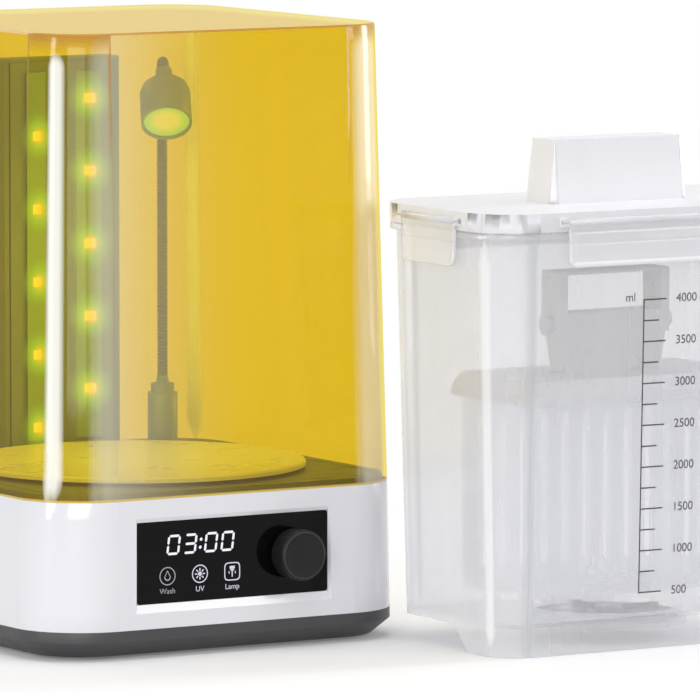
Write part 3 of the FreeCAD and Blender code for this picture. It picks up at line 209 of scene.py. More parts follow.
def clear_plastic(name, tint, body, opacity, edge, rough, streak=0.02, waves=0.00004, lines=None):
    """See-through plastic: tinted light passes, and a share of the surface shows as a hazy body."""
    look = Look(name)
    wave = look.bump(look.noise(25, 2), waves * 12, 0.2)
    facing = look.node("ShaderNodeLayerWeight", Blend=0.5).outputs["Facing"]
    rim = look.math("MULTIPLY", look.math("POWER", facing, 3.0), edge)
    flow = look.spread(look.noise(30, 3, (1, 1, 0.12)), -streak, streak)
    share = look.math("ADD", look.math("ADD", rim, opacity), flow)
    share = look.math("MINIMUM", look.math("MAXIMUM", share, 0.0), 1.0)
    through = look.node("ShaderNodeBsdfTransparent", Color=tint)
    gloss = look.spread(look.noise(80, 4), rough * 0.8, rough * 1.3)
    solid = look.principled(Base_Color=body, Roughness=gloss, Normal=wave)
    mixed = look.mix(share, through, solid)
    # lines lays painted highlight and shade lines over the plastic.
    if lines:
        mixed = lines(look, mixed)
    sheen = look.node("ShaderNodeBsdfGlossy", Color=(1, 1, 1, 1), Roughness=rough * 0.5, Normal=wave)
    return look.show(look.mix(look.gloss_share(0.02, 0.25), mixed, sheen))


def painted_tub_lines(look, shader):
    """A painted highlight line down the tub's front left corner, and a soft painted dark line beside it."""
    turned = look.node("ShaderNodeTexCoord").outputs["Normal"]
    outside = look.math("SUBTRACT", 1.0, look.node("ShaderNodeNewGeometry").outputs["Backfacing"])
    # Painted highlight: a white strip where the wall faces left and a little forward.
    bright = look.math("MULTIPLY", look.towards(turned, (-0.94, -0.34, 0), 0.988, 0.998), 0.55)
    white = look.principled(Base_Color=linear(253, 253, 255), Roughness=0.3)
    shader = look.mix(look.math("MULTIPLY", bright, outside), shader, white)
    # Painted shade: a soft grey line at a fixed X on the front-facing wall.
    across = look.node("ShaderNodeSeparateXYZ", Vector=look.place).outputs["X"]
    off = look.math("ABSOLUTE", look.math("SUBTRACT", across, TUB.x + PAINTED_DARK_LINE_X))
    dark = look.math("MULTIPLY", look.spread(off, 0.5, 0, 0.0020, 0.0042),
                     look.towards(turned, (0, -1, 0), 0.9, 0.97))
    grey = look.principled(Base_Color=linear(186, 189, 194), Roughness=0.5)
    return look.mix(look.math("MULTIPLY", dark, outside), shader, grey)


def glowing(name, colour, strength, body=(0.02, 0.02, 0.02, 1)):
    look = Look(name)
    speckle = look.spread(look.noise(900, 2), 0.92, 1.0)
    tone = look.blend(speckle, (0, 0, 0, 1), colour)
    return look.show(look.principled(Base_Color=body, Roughness=0.4, Emission_Color=tone,
                                     Emission_Strength=strength))


# Where the painted dark line on the tub lies, across from the tub's middle.
PAINTED_DARK_LINE_X = -0.086
COVER_TINT = (0.937, 0.85, 0.25, 1)
COVER_EDGE_TINT = (0.93, 0.82, 0.24, 1)
COVER_SHADOW_TINT = (0.985, 0.98, 0.955, 1)
LOOKS = {}


def make_looks():
    LOOKS["white_shell"] = plastic("white_shell", linear(228, 228, 234), 0.16, 1800, 0.00002, 0.2,
                                   coat=0.5, vary=0.015)
    LOOKS["dark_plastic"] = plastic("dark_plastic", linear(66, 66, 68), 0.42, 2600, 0.00008, 0.5)
    LOOKS["deck_plastic"] = plastic("deck_plastic", linear(80, 92, 82), 0.4, 2200, 0.00007, 0.5)
    LOOKS["rubber"] = plastic("rubber", linear(34, 34, 35), 0.75, 1500, 0.0001, 0.6)
    LOOKS["steel"] = brushed("steel", linear(190, 190, 194), 0.28, (1, 1, 0.05))
    LOOKS["magnet"] = brushed("magnet", linear(160, 160, 164), 0.3, (0.2, 1, 1))
    LOOKS["brass"] = brushed("brass", linear(196, 164, 92), 0.3, (1, 1, 0.1))
    LOOKS["black_panel"] = plastic("black_panel", linear(9, 9, 10), 0.09, 900, 0.00001, 0.1, shine=0.12)
    LOOKS["black_knob"] = plastic("black_knob", linear(24, 24, 25), 0.45, 3000, 0.00006, 0.5, shine=0.25)
    LOOKS["knob_line"] = plastic("knob_line", linear(70, 70, 72), 0.35, 3000, 0.00003, 0.3)
    LOOKS["circuit_board"] = plastic("circuit_board", linear(28, 92, 52), 0.4, 700, 0.00008, 0.4)
    LOOKS["tower"] = plastic("tower", linear(98, 115, 99), 0.45, 1800, 0.00008, 0.5)
    LOOKS["led_board"] = plastic("led_board", linear(116, 150, 100), 0.45, 1200, 0.00005, 0.4)
    LOOKS["lamp_body"] = plastic("lamp_body", linear(114, 130, 106), 0.38, 2200, 0.00006, 0.4)
    LOOKS["lamp_neck"] = plastic("lamp_neck", linear(92, 96, 84), 0.4, 1500, 0.00005, 0.4)
    LOOKS["turntable"] = plastic("turntable", linear(226, 226, 216), 0.3, 1500, 0.00004, 0.3)
    LOOKS["plate_metal"] = brushed("plate_metal", linear(226, 226, 229), 0.5, (0.3, 1, 1))
    LOOKS["grey_block"] = plastic("grey_block", linear(206, 206, 209), 0.4, 1800, 0.00006, 0.4)
    LOOKS["impeller"] = plastic("impeller", linear(120, 124, 134), 0.4, 1500, 0.00006, 0.4)
    LOOKS["silicone"] = plastic("silicone", linear(225, 226, 230), 0.5, 1500, 0.00004, 0.3)
    LOOKS["display"] = glowing("display", (0.8, 0.85, 1.0, 1), 0.6)
    LOOKS["led"] = glowing("led", (1.0, 0.76, 0.16, 1), 1.3, (0.6, 0.5, 0.2, 1))
    LOOKS["amber_cover"] = amber_look()
    # The tub carries a painted highlight line and a painted dark line.
    LOOKS["clear_tub"] = clear_plastic("clear_tub", (0.972, 0.974, 0.98, 1), linear(251, 251, 254),
                                       0.26, 0.3, 0.2, lines=painted_tub_lines)
    LOOKS["clear_lid"] = clear_plastic("clear_lid", (0.975, 0.975, 0.98, 1), linear(240, 240, 244),
                                       0.88, 0.1, 0.4)
    LOOKS["clear_flap"] = clear_plastic("clear_flap", (0.97, 0.972, 0.98, 1), linear(250, 250, 253),
                                        0.45, 0.35, 0.2)
    LOOKS["basket"] = clear_plastic("basket", (0.965, 0.968, 0.976, 1), linear(247, 248, 251),
                                    0.22, 0.3, 0.25)
    LOOKS["lamp_lens"] = lens_look()


def amber_look():
    """Tinted acrylic: each surface takes out most of the blue; a painted pale reflection lies at its left, painted
    highlights run down its front corners, its top is painted lighter and its sloped edges are painted darker.
    """
    look = Look("amber_cover")
    wave = look.bump(look.noise(14, 2), 0.0004, 0.12)
    facing = look.node("ShaderNodeLayerWeight", Blend=0.5).outputs["Facing"]
    tint = look.blend(look.math("POWER", facing, 3.0), COVER_TINT, COVER_EDGE_TINT)
    shadow = look.node("ShaderNodeLightPath").outputs["Is Shadow Ray"]
    through = look.node("ShaderNodeBsdfTransparent", Color=look.blend(shadow, tint, COVER_SHADOW_TINT))
    gloss = look.spread(look.noise(70, 4), 0.05, 0.09)
    haze = look.principled(Base_Color=linear(232, 190, 20), Roughness=gloss, Normal=wave)
    mixed = look.mix(look.spread(look.noise(12, 3), 0.05, 0.07), through, haze)
    # Painted reflection: the left part of the front face turns pale, fading towards the right; painted highlight
    # strips run down the front corners.
    pale = look.principled(Base_Color=linear(250, 249, 240), Roughness=0.4, Normal=wave)
    low, high = low_of("uv_cover"), high_of("uv_cover")
    split = look.node("ShaderNodeSeparateXYZ", Vector=look.place)
    run = look.spread(split.outputs["X"], 1, 0, low.x, low.x + 0.62 * (high.x - low.x))
    turned = look.node("ShaderNodeTexCoord").outputs["Normal"]
    outside = look.math("SUBTRACT", 1.0, look.node("ShaderNodeNewGeometry").outputs["Backfacing"])
    front = look.towards(turned, (0, -1, 0), 0.9, 0.99)
    painted_reflection_share = look.math("MULTIPLY", look.math("MULTIPLY", look.math("POWER", run, 2.6), front), 0.66)
    painted_left_highlight = look.math("MULTIPLY", look.towards(turned, (-0.80, -0.60, 0), 0.987, 0.998), 0.88)
    painted_right_highlight = look.math("MULTIPLY", look.towards(turned, (0.42, -0.908, 0), 0.93, 0.985), 0.42)
    most = look.math("MAXIMUM", painted_reflection_share, look.math("MAXIMUM", painted_left_highlight, painted_right_highlight))
    with_painted_light = look.mix(look.math("MULTIPLY", most, outside), mixed, pale)
    # Painted light: upward faces seen at a glance turn a lighter yellow.
    upward = look.node("ShaderNodeSeparateXYZ", Vector=turned).outputs["Z"]
    painted_top_light = look.principled(Base_Color=linear(255, 236, 130), Roughness=0.3, Normal=wave)
    glance = look.math("MULTIPLY", look.math("POWER", facing, 4.0), outside)
    painted_top_share = look.math("MULTIPLY", look.spread(upward, 0, 0.42, 0.93, 0.99), glance)
    with_painted_light = look.mix(painted_top_share, with_painted_light, painted_top_light)
    # Painted shade: the sloped edge faces turn a darker brown.
    painted_edge_shade = look.principled(Base_Color=linear(178, 118, 30), Roughness=0.2)
    edge = look.math("MULTIPLY", look.spread(upward, 0, 0.75, 0.15, 0.3),
                     look.spread(upward, 1, 0, 0.8, 0.93))
    with_painted_light = look.mix(edge, with_painted_light, painted_edge_shade)
    foot = look.principled(Base_Color=linear(238, 208, 90), Roughness=0.2)
    rim = look.spread(split.outputs["Z"], 0.7, 0, low.z + 0.0008, low.z + 0.0016)
    with_painted_light = look.mix(look.math("MULTIPLY", rim, outside), with_painted_light, foot)
    sheen = look.node("ShaderNodeBsdfGlossy", Color=(1, 1, 1, 1), Roughness=0.04, Normal=wave)
    return look.show(look.mix(look.gloss_share(0.02, 0.22), with_painted_light, sheen))


def lens_look():
    """A lit lens: a warm middle inside a green ring."""
    look = Look("lamp_lens")
    centre = middle("lamp_lens")
    away = look.node("ShaderNodeVectorMath", {"operation": "DISTANCE"})
    look.tree.links.new(look.place, away.inputs[0])
    away.inputs[1].default_value = centre
    ring = look.spread(away.outputs["Value"], 0, 1, 0.006, 0.0105)
    tone = look.blend(ring, (1.0, 0.90, 0.32, 1), (0.30, 0.85, 0.20, 1))
    return look.show(look.principled(Base_Color=(0.25, 0.28, 0.12, 1), Roughness=0.35, Emission_Color=tone,
                                     Emission_Strength=0.62))


BEVELS = {"base_shell": 0.5, "bottom_tray": 0.6, "panel_glass": 0.25, "deck_plate": 0.4, "tub_lid": 0.9,
          "wash_tub": 0.35, "carrier_block": 0.6, "carrier_plate": 0.5,
          "wash_basket": 0.3, "tower_housing": 0.4, "tower_trims": 0.4, "tower_cap": 0.4, "uv_cover": 0.9,
          "lamp_socket": 0.6, "lamp_bell": 0.25, "carrier_clamp": 0.5, "power_rocker": 0.3}
DARK_NODES = {"deck_plate": "deck_plastic"}


def dress_nodes():
    """Gives each CAD node its material, and rounds its edges a little."""
    slots = {row["node"]: row["material_slot"] for row in frame["record"]["subparts"]}
    for name, node in NODES.items():
        look = LOOKS[DARK_NODES.get(name, slots[name])]
        node.data.materials.clear()
        node.data.materials.append(look)
        if name in BEVELS:
            weld = node.modifiers.new("weld", "WELD")
            weld.merge_threshold = 1e-6
            edge = node.modifiers.new("edge", "BEVEL")
            edge.width = BEVELS[name] * MM
            edge.segments = 3
            edge.limit_method = "ANGLE"
            edge.angle_limit = math.radians(35)
            edge.harden_normals = name != "tub_lid"
    bpy.context.view_layer.update()


# Pieces ---------------------------------------------------------------------------------------
def add_piece(name, mesh, look, body):
    piece = bpy.data.objects.new(name, mesh)
    bpy.context.scene.collection.objects.link(piece)
    piece.data.materials.clear()
    piece.data.materials.append(LOOKS[look])
    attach(piece, body)
    return piece


def mesh_of(name, points, faces, smooth=False):
    mesh = bpy.data.meshes.new(name)
    mesh.from_pydata([tuple(point) for point in points], [], faces)
    mesh.update()
    if smooth:
        mesh.polygons.foreach_set("use_smooth", [True] * len(mesh.polygons))
    return mesh


def join_rings(count, around, closed_ends=True):
    """Faces that join successive rings of points."""
    faces = []
    for row in range(count - 1):
        for step in range(around):
            after = (step + 1) % around
            faces.append((row * around + step, row * around + after,
                          (row + 1) * around + after, (row + 1) * around + step))
    if closed_ends:
        faces.append(tuple(reversed(range(around))))
        faces.append(tuple(range((count - 1) * around, count * around)))
    return faces


def lathe(name, profile, place, around, flutes=0, flute_depth=0.0, closed=True):
    """Turns (radius, distance) pairs about the front-facing axis through a place; flutes ripple it."""
    points = []
    for radius, along in profile:
        for step in range(around):
            angle = math.tau * step / around
            out = radius
            if flutes and radius > FLUTED_FROM:
                out -= flute_depth * (0.5 - 0.5 * math.cos(flutes * angle))
            points.append(place + Vector((out * math.cos(angle), -along, out * math.sin(angle))))
    faces = [tuple(reversed(face)) for face in join_rings(len(profile), around, closed)]
    return mesh_of(name, points, faces, True)


FLUTED_FROM = 0.0134
FLUTES, FLUTE_DEPTH = 80, 0.00022


def make_knob():
    back = high_of("control_knob").y
    place = Vector((middle("control_knob").x, back, middle("control_knob").z))
    radius = (high_of("control_knob").x - low_of("control_knob").x) / 2
    depth = high_of("control_knob").y - low_of("control_knob").y
    profile = [(radius - 0.0010, 0.0), (radius - 0.0003, 0.0002), (radius, 0.0010),
               (radius, depth - 0.0016), (radius - 0.0002, depth - 0.0008),
               (radius - 0.0008, depth - 0.0002), (radius - 0.0015, depth),
               (radius - 0.0022, depth - 0.0001), (radius - 0.0028, depth - 0.0004),
               (0.0040, depth - 0.0005), (0.0001, depth - 0.0005)]
    mesh = lathe("knob", profile, place, 240, FLUTES, FLUTE_DEPTH)
    knob = add_piece("knob_turned", mesh, "black_knob", "knob")
    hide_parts("control_knob")
    ring = lathe("knob_ring", [(radius - 0.0015, depth + 0.00002), (radius - 0.0012, depth - 0.00005)],
                 place, 120, closed=False)
    add_piece("knob_rim_line", ring, "knob_line", "knob")


# Flexible neck of the lamp --------------------------------------------------------------------
def tube_along(name, path, radius, ripple, pitch, around=40):
    """A ribbed tube along points that lie close together."""
    rings = []
    run = 0.0
    for i, point in enumerate(path):
        ahead = path[min(i + 1, len(path) - 1)] - path[max(i - 1, 0)]
        run += (point - path[i - 1]).length if i else 0.0
        side = ahead.cross(SIDEWAYS).normalized()
        across = ahead.cross(side).normalized()
        size = radius - ripple * (0.5 - 0.5 * math.cos(math.tau * run / pitch))
        for step in range(around):
            angle = math.tau * step / around
            rings.append(point + size * (math.cos(angle) * side + math.sin(angle) * across))
    return mesh_of(name, rings, join_rings(len(path), around), True)


JOINTS = {joint["name"]: joint for joint in frame["joints"]}
SIDEWAYS = Vector(JOINTS["lamp_tilt"]["axis"])
FORWARD = SIDEWAYS.cross(Vector((0, 0, 1))).normalized()
NECK_RADIUS = 0.0031
RIB_PITCH = 0.0019
RIB_DEPTH = 0.0006
ARCH_RADIUS = 0.010
ARCH_TURN = math.radians(135)


def make_neck():
    foot = Vector(JOINTS["lamp_turn"]["pos_m"])
    low_bend = Vector(JOINTS["lamp_bend_low"]["pos_m"])
    mid_bend = Vector(JOINTS["lamp_bend_mid"]["pos_m"])
    head = Vector(JOINTS["lamp_tilt"]["pos_m"])
    split = (low_bend.z + mid_bend.z) / 2
    step = RIB_PITCH / 8
    rise = foot.z + 0.004
    lower = []
    while rise <= split:
        lower.append(Vector((foot.x, foot.y, rise)))
        rise += step
    upper = []
    rise = split
    arch_low = head.z - ARCH_RADIUS * math.sin(ARCH_TURN)
    while rise < arch_low:
        upper.append(Vector((foot.x, foot.y, rise)))
        rise += step
    turns = int(ARCH_TURN * ARCH_RADIUS / step)
    for i in range(turns + 1):
        angle = ARCH_TURN * i / turns
        upper.append(Vector((foot.x, foot.y, arch_low)) + FORWARD * ARCH_RADIUS * (1 - math.cos(angle))
                     + Vector((0, 0, ARCH_RADIUS * math.sin(angle))))
    low_mesh = tube_along("neck_low", lower, NECK_RADIUS, RIB_DEPTH, RIB_PITCH)
    low_piece = bpy.data.objects.new("neck_ribs_low", low_mesh)
    high_mesh = tube_along("neck_high", upper, NECK_RADIUS, RIB_DEPTH, RIB_PITCH)
    high_piece = bpy.data.objects.new("neck_ribs_high", high_mesh)
    for piece in (low_piece, high_piece):
        bpy.context.scene.collection.objects.link(piece)
        piece.data.materials.append(LOOKS["lamp_neck"])
    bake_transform(low_piece)
    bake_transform(high_piece)
    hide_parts("lamp_neck_lower")
    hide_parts("lamp_neck_upper")


# Panel graphics -------------------------------------------------------------------------------
PANEL_LIFT = 0.00012
PANEL_FACE = low_of("panel_glass").y


def panel_point(across, up):
    """A point just in front of the panel glass, from millimetres in the machine's own frame."""
    return Vector((MACHINE.x + across * MM, PANEL_FACE - PANEL_LIFT, up * MM))


def flat_shapes(name, outlines, look, body="base"):
    points, faces = [], []
    for outline in outlines:
        start = len(points)
        points.extend(outline)
        faces.append(tuple(range(start, start + len(outline))))
    return add_piece(name, mesh_of(name, points, faces), look, body)


DIGITS = {"0": "abcdef", "3": "abcdg"}
DIGIT_WIDE, DIGIT_TALL, SEGMENT = 8.0, 10.9, 1.45
SLANT = 0.13


def segment_bars(left, low):
    """The seven bars of a digit as (start, end) points in millimetres."""
    half = SEGMENT / 2
    right, top = left + DIGIT_WIDE - half, low + DIGIT_TALL - half
    left, low = left + half, low + half
    mid = (low + top) / 2
    return {"a": ((left, top), (right, top)), "b": ((right, mid), (right, top)),
            "c": ((right, low), (right, mid)), "d": ((left, low), (right, low)),
            "e": ((left, low), (left, mid)), "f": ((left, mid), (left, top)),
            "g": ((left, mid), (right, mid))}


def slanted(across, up, base):
    return panel_point(across + SLANT * (up - base), up)


def bar_outline(start, end, base):
    """A pointed bar between two points."""
    half = SEGMENT / 2 * 0.88
    gap = 0.22
    (ax, az), (bx, bz) = start, end
    if abs(bz - az) < 1e-9:
        spots = [(ax + gap, az), (ax + gap + half, az + half), (bx - gap - half, az + half), (bx - gap, az),
                 (bx - gap - half, az - half), (ax + gap + half, az - half)]
    else:
        spots = [(ax, az + gap), (ax + half, az + gap + half), (ax + half, bz - gap - half), (ax, bz - gap),
                 (ax - half, bz - gap - half), (ax - half, az + gap + half)]
    return [slanted(across, up, base) for across, up in spots]


def round_dot(across, up, radius, base, count=16):
    angles = [math.tau * k / count for k in range(count)]
    return [slanted(across + radius * math.cos(angle), up + radius * math.sin(angle), base)
            for angle in angles]


def make_digits():
    low = 54.0
    outlines = []
    for left, digit in ((-43.2, "0"), (-33.0, "3"), (-20.2, "0"), (-10.0, "0")):
        bars = segment_bars(left, low)
        outlines += [bar_outline(*bars[name], low) for name in DIGITS[digit]]
    for up in (low + 3.2, low + 7.4):
        outlines.append(round_dot(-22.6, up, 0.85, low))
    flat_shapes("clock_digits", outlines, "digit_light")


def ring_shape(centre, outer, inner, count=48, square=0.0):
    """A ring as quads; square turns the circle towards a rounded square."""
    def spot(radius, k):
        angle = math.tau * k / count
        wide, tall = math.cos(angle), math.sin(angle)
        if square:
            swell = 1 / max((abs(wide) ** 5 + abs(tall) ** 5) ** 0.2, 1e-6)
            wide, tall = wide * swell, tall * swell
        return panel_point(centre[0] + radius * wide, centre[1] + radius * tall)
    return [[spot(outer, k), spot(outer, k + 1), spot(inner, k + 1), spot(inner, k)] for k in range(count)]


def disc_shape(centre, radius, count=24):
    return [[panel_point(centre[0] + radius * math.cos(math.tau * k / count),
                         centre[1] + radius * math.sin(math.tau * k / count)) for k in range(count)]]


def stroke(start, end, width):
    first, last = Vector(start), Vector(end)
    along = (last - first).normalized()
    side = Vector((-along.y, along.x)) * width / 2
    return [[panel_point(*(first + side)), panel_point(*(last + side)), panel_point(*(last - side)),
             panel_point(*(first - side))]]


ICON_X = (-42.3, -22.4, -2.5)
ICON_Z = 43.0
ICON_RADIUS = 4.9


def drop_outline(count=40):
    """A drop with its point up, in millimetres about its middle."""
    spots = []
    for k in range(count):
        angle = math.tau * k / count
        rise = max(0.0, math.sin(angle))
        spots.append((2.0 * math.cos(angle) * (1 - 0.35 * rise),
                      2.0 * math.sin(angle) * (1.0 + 0.75 * rise ** 4) - 0.5))
    return spots


def drop_icon(centre):
    x, z = centre
    shapes = ring_shape(centre, ICON_RADIUS, ICON_RADIUS - 0.55)
    outer = drop_outline()
    for k, (ax, az) in enumerate(outer):
        bx, bz = outer[(k + 1) % len(outer)]
        shapes.append([panel_point(x + ax, z + az), panel_point(x + bx, z + bz),
                       panel_point(x + bx * 0.72, z + bz * 0.72), panel_point(x + ax * 0.72, z + az * 0.72)])
    return shapes


def sun_icon(centre):
    shapes = ring_shape(centre, ICON_RADIUS, ICON_RADIUS - 0.6) + disc_shape(centre, 1.15)
    for k in range(8):
        angle = math.tau * k / 8
        out = Vector((math.cos(angle), math.sin(angle)))
        shapes += stroke(Vector(centre) + out * 1.6, Vector(centre) + out * 3.1, 0.7)
    return shapes


LAMP_STROKES = (((-1.6, 2.2), (1.6, 2.2), 1.5), ((-1.1, 0.9), (1.1, 0.9), 0.9), ((0, 0.4), (0, -2.9), 0.7),
                ((-1.9, 0.2), (-1.9, -1.2), 0.5), ((1.9, 0.2), (1.9, -1.2), 0.5))


def lamp_icon(centre):
    shapes = ring_shape(centre, ICON_RADIUS, ICON_RADIUS - 0.6, 48, 1.0)
    for start, end, width in LAMP_STROKES:
        shapes += stroke(Vector(centre) + Vector(start), Vector(centre) + Vector(end), width)
    return shapes


def make_icons():
    drop, sun, lamp = ((x, ICON_Z) for x in ICON_X)
    flat_shapes("wash_icon", drop_icon(drop), "icon_dim")
    flat_shapes("mode_icons", sun_icon(sun) + lamp_icon(lamp), "icon_light")


def text_mesh(name, words, size, align="CENTER"):
    curve = bpy.data.curves.new(name, "FONT")
    curve.body = words
    curve.size = size
    curve.align_x = align
    curve.align_y = "CENTER"
    holder = bpy.data.objects.new(name, curve)
    bpy.context.scene.collection.objects.link(holder)
    bpy.context.view_layer.update()
    shaped = holder.evaluated_get(bpy.context.evaluated_depsgraph_get())
    mesh = bpy.data.meshes.new_from_object(shaped)
    bpy.data.objects.remove(holder)
    bpy.data.curves.remove(curve)
    return mesh


UPRIGHT = Matrix.Rotation(math.pi / 2, 4, "X")


def make_labels():
    for x, words, look in zip(ICON_X, ("Wash", "UV", "Lamp"), ("icon_dim", "icon_light", "icon_light")):
        mesh = text_mesh("label_" + words, words, 4.1 * MM)
        mesh.transform(Matrix.Translation(panel_point(x, 34.9)) @ UPRIGHT)
        add_piece("label_" + words, mesh, look, "base")


# Volume marks on the tub ----------------------------------------------------------------------
TUB_DRAFT = math.radians(1.59)
MARK_LIFT = 0.00015
TUB_FRONT = 0.0555


def tub_point(across, up):
    """A point just in front of the tub's leaning front wall, in metres from the tub's middle."""
    return Vector((TUB.x + across, TUB.y - TUB_FRONT - up * math.tan(TUB_DRAFT) - MARK_LIFT, up))


MARK_X = -0.0155
MARK_LOW, MARK_STEP = 0.0304, 0.02243


def make_marks():
    width = 0.0007
    half = width / 2
    top = MARK_LOW + 7 * MARK_STEP
    outlines = [[tub_point(MARK_X - half, MARK_LOW - half), tub_point(MARK_X + half, MARK_LOW - half),
                 tub_point(MARK_X + half, top + half), tub_point(MARK_X - half, top + half)]]
    for k in range(15):
        up = MARK_LOW + k * MARK_STEP / 2
        reach = 0.0142 if k % 2 == 0 else 0.0097
        outlines.append([tub_point(MARK_X, up - half), tub_point(MARK_X + reach, up - half),
                         tub_point(MARK_X + reach, up + half), tub_point(MARK_X, up + half)])
    flat_shapes("volume_lines", outlines, "mark_ink", "tub")
    lean = Matrix.Rotation(math.pi / 2 + TUB_DRAFT, 4, "X")
    for k in range(8):
        words = str(500 * (k + 1))
        mesh = text_mesh("mark_" + words, words, 0.0066, "LEFT")
        mesh.transform(Matrix.Translation(tub_point(MARK_X + 0.0205, MARK_LOW + k * MARK_STEP)) @ lean)
        add_piece("mark_" + words, mesh, "mark_ink", "tub")
    mesh = text_mesh("mark_ml", "ml", 0.0066, "CENTER")
    mesh.transform(Matrix.Translation(tub_point(MARK_X - 0.0085, top + 0.0015)) @ lean)
    add_piece("mark_ml", mesh, "mark_ink", "tub")


# Clip flaps -----------------------------------------------------------------------------------
FLAP_COLUMNS, FLAP_ROWS = 72, 40
FLAP_CORNER = 0.004
PIN_REACH = 0.0042


def flap_sheets(hinge, long_axis, out_axis, half, drop):
    """The flap's outer and inner faces as rows of points, from the hinge down."""
    outer, inner = [], []
    for row in range(FLAP_ROWS + 1):
        down = drop * row / FLAP_ROWS
        tuck = max(0.0, down - (drop - FLAP_CORNER))
        inset = FLAP_CORNER - math.sqrt(max(FLAP_CORNER ** 2 - tuck ** 2, 0.0))
        for column in range(FLAP_COLUMNS + 1):
            share = 2 * column / FLAP_COLUMNS - 1
            along = share * (half - inset)
            curl = 0.0008 * max(0.0, (down - 0.62 * drop) / (0.38 * drop)) ** 2
            channel = 0.0005 * math.exp(-((down - 0.0052) / 0.0007) ** 2)
            band = 0.0004 * math.exp(-((down - 0.0115) / 0.0004) ** 2)
            rim = 0.0004 if abs(along) > half - 0.0022 or down > drop - 0.0022 else 0.0
            outward = 0.0007 + curl + rim - channel - band
            spot = Vector((hinge.x, hinge.y, hinge.z - down)) + long_axis * along
            outer.append(spot + out_axis * outward)
            inner.append(spot + out_axis * (-0.0009 + curl * 0.6))
    return outer, inner


def flap_faces():
    """Faces of both sheets, and the band that joins their edges."""
    across = FLAP_COLUMNS + 1
    shift = across * (FLAP_ROWS + 1)
    faces = []
    for row in range(FLAP_ROWS):
        for column in range(FLAP_COLUMNS):
            a = row * across + column
            faces.append((a, a + 1, a + across + 1, a + across))
            faces.append((shift + a, shift + a + across, shift + a + across + 1, shift + a + 1))
    edge = list(range(across))
    edge += [row * across + FLAP_COLUMNS for row in range(1, FLAP_ROWS + 1)]
    edge += [FLAP_ROWS * across + column for column in range(FLAP_COLUMNS - 1, -1, -1)]
    edge += [row * across for row in range(FLAP_ROWS - 1, 0, -1)]
    for i, a in enumerate(edge):
        b = edge[(i + 1) % len(edge)]
        faces.append((b, a, shift + a, shift + b))
    return faces


def make_flap(name, across_x, side):
    """A moulded flap: rounded corners, a hinge channel, a curled lower lip and a finger rib."""
    low, high = low_of(name), high_of(name)
    hinge = Vector(JOINTS[name + "_hinge"]["pos_m"])
    long_axis = Vector((1, 0, 0)) if across_x else Vector((0, 1, 0))
    out_axis = Vector((0, side, 0)) if across_x else Vector((side, 0, 0))
    half = (high - low).dot(long_axis) / 2 - PIN_REACH
    outer, inner = flap_sheets(hinge, long_axis, out_axis, half, hinge.z - low.z)
    bm = bmesh.new()
    verts = [bm.verts.new(point) for point in outer + inner]
    for face in flap_faces():
        bm.faces.new([verts[i] for i in face])
    bmesh.ops.recalc_face_normals(bm, faces=bm.faces)
    add_barrel(bm, hinge, long_axis, half + PIN_REACH)
    mesh = bpy.data.meshes.new(name)
    bm.to_mesh(mesh)
    bm.free()
    mesh.polygons.foreach_set("use_smooth", [True] * len(mesh.polygons))
    piece = add_piece(name + "_moulded", mesh, "clear_flap", name)
    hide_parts(name)


def add_barrel(bm, centre, along, half):
    """The hinge barrel, with a stepped pin at each end."""
    turn = Vector((0, 0, 1)).rotation_difference(along).to_matrix().to_4x4()
    for radius, reach in ((0.0018, half - PIN_REACH), (0.0012, half)):
        bmesh.ops.create_cone(bm, cap_ends=True, segments=20, radius1=radius, radius2=radius,
                              depth=2 * reach, matrix=Matrix.Translation(centre) @ turn)


def make_flaps():
    make_flap("flap_front", True, -1)
    make_flap("flap_back", True, 1)
    make_flap("flap_left", False, -1)
    make_flap("flap_right", False, 1)


# Light glow on the tower ----------------------------------------------------------------------
def glow_look():
    """A soft spot of light that fades to nothing: radius comes from the piece's UV map."""
    look = Look("led_glow")
    away = look.node("ShaderNodeVectorMath", {"operation": "LENGTH"})
    uv = look.node("ShaderNodeUVMap")
    look.tree.links.new(uv.outputs[0], away.inputs[0])
    radius = away.outputs["Value"]
    share = look.math("POWER", look.spread(radius, 1, 0, 0.0, 1.0), 1.45)
    tone = look.blend(look.spread(radius, 0, 1, 0.22, 0.42), (1.0, 0.80, 0.18, 1), (0.55, 1.0, 0.30, 1))
    light = look.node("ShaderNodeEmission", Color=tone, Strength=1.15)
    clear = look.node("ShaderNodeBsdfTransparent")
    LOOKS["led_glow"] = look.show(look.mix(share, clear, light))


def make_glow(side):
    """One glow patch in front of each light on a strip."""
    name = "leds_" + side
    board = NODES["led_board_" + side]
    out = board_normal(board)
    across = out.cross(Vector((0, 0, 1))).normalized()
    size = 0.0145
    count = 5
    low, high = low_of(name), high_of(name)
    centre = (low + high) / 2
    pitch = (high.z - low.z - 0.005) / (count - 1)
    points, faces, spots = [], [], []
    for k in range(count):
        spot = Vector((centre.x, centre.y, low.z + 0.0025 + k * pitch)) + out * 0.0016
        start = len(points)
        for wide, tall in ((-1, -1), (1, -1), (1, 1), (-1, 1)):
            points.append(spot + across * wide * size + Vector((0, 0, tall * size)))
            spots.append((wide, tall))
        faces.append((start, start + 1, start + 2, start + 3))
    mesh = mesh_of("glow_" + side, points, faces)
    layer = mesh.uv_layers.new(name="glow")
    for loop in mesh.loops:
        layer.data[loop.index].uv = spots[loop.vertex_index]
    add_piece("glow_" + side, mesh, "led_glow", "base")


def board_normal(board):
    """The direction that a light strip faces: the largest face that looks forward."""
    best = max(board.data.polygons, key=lambda face: face.area * (face.normal.y < -0.5))
    return best.normal.copy()


# Room, light and finish -----------------------------------------------------------------------
ROOM_LEVEL = 0.42
FLOOR_NEAR, FLOOR_FAR = 0.30, 0.62


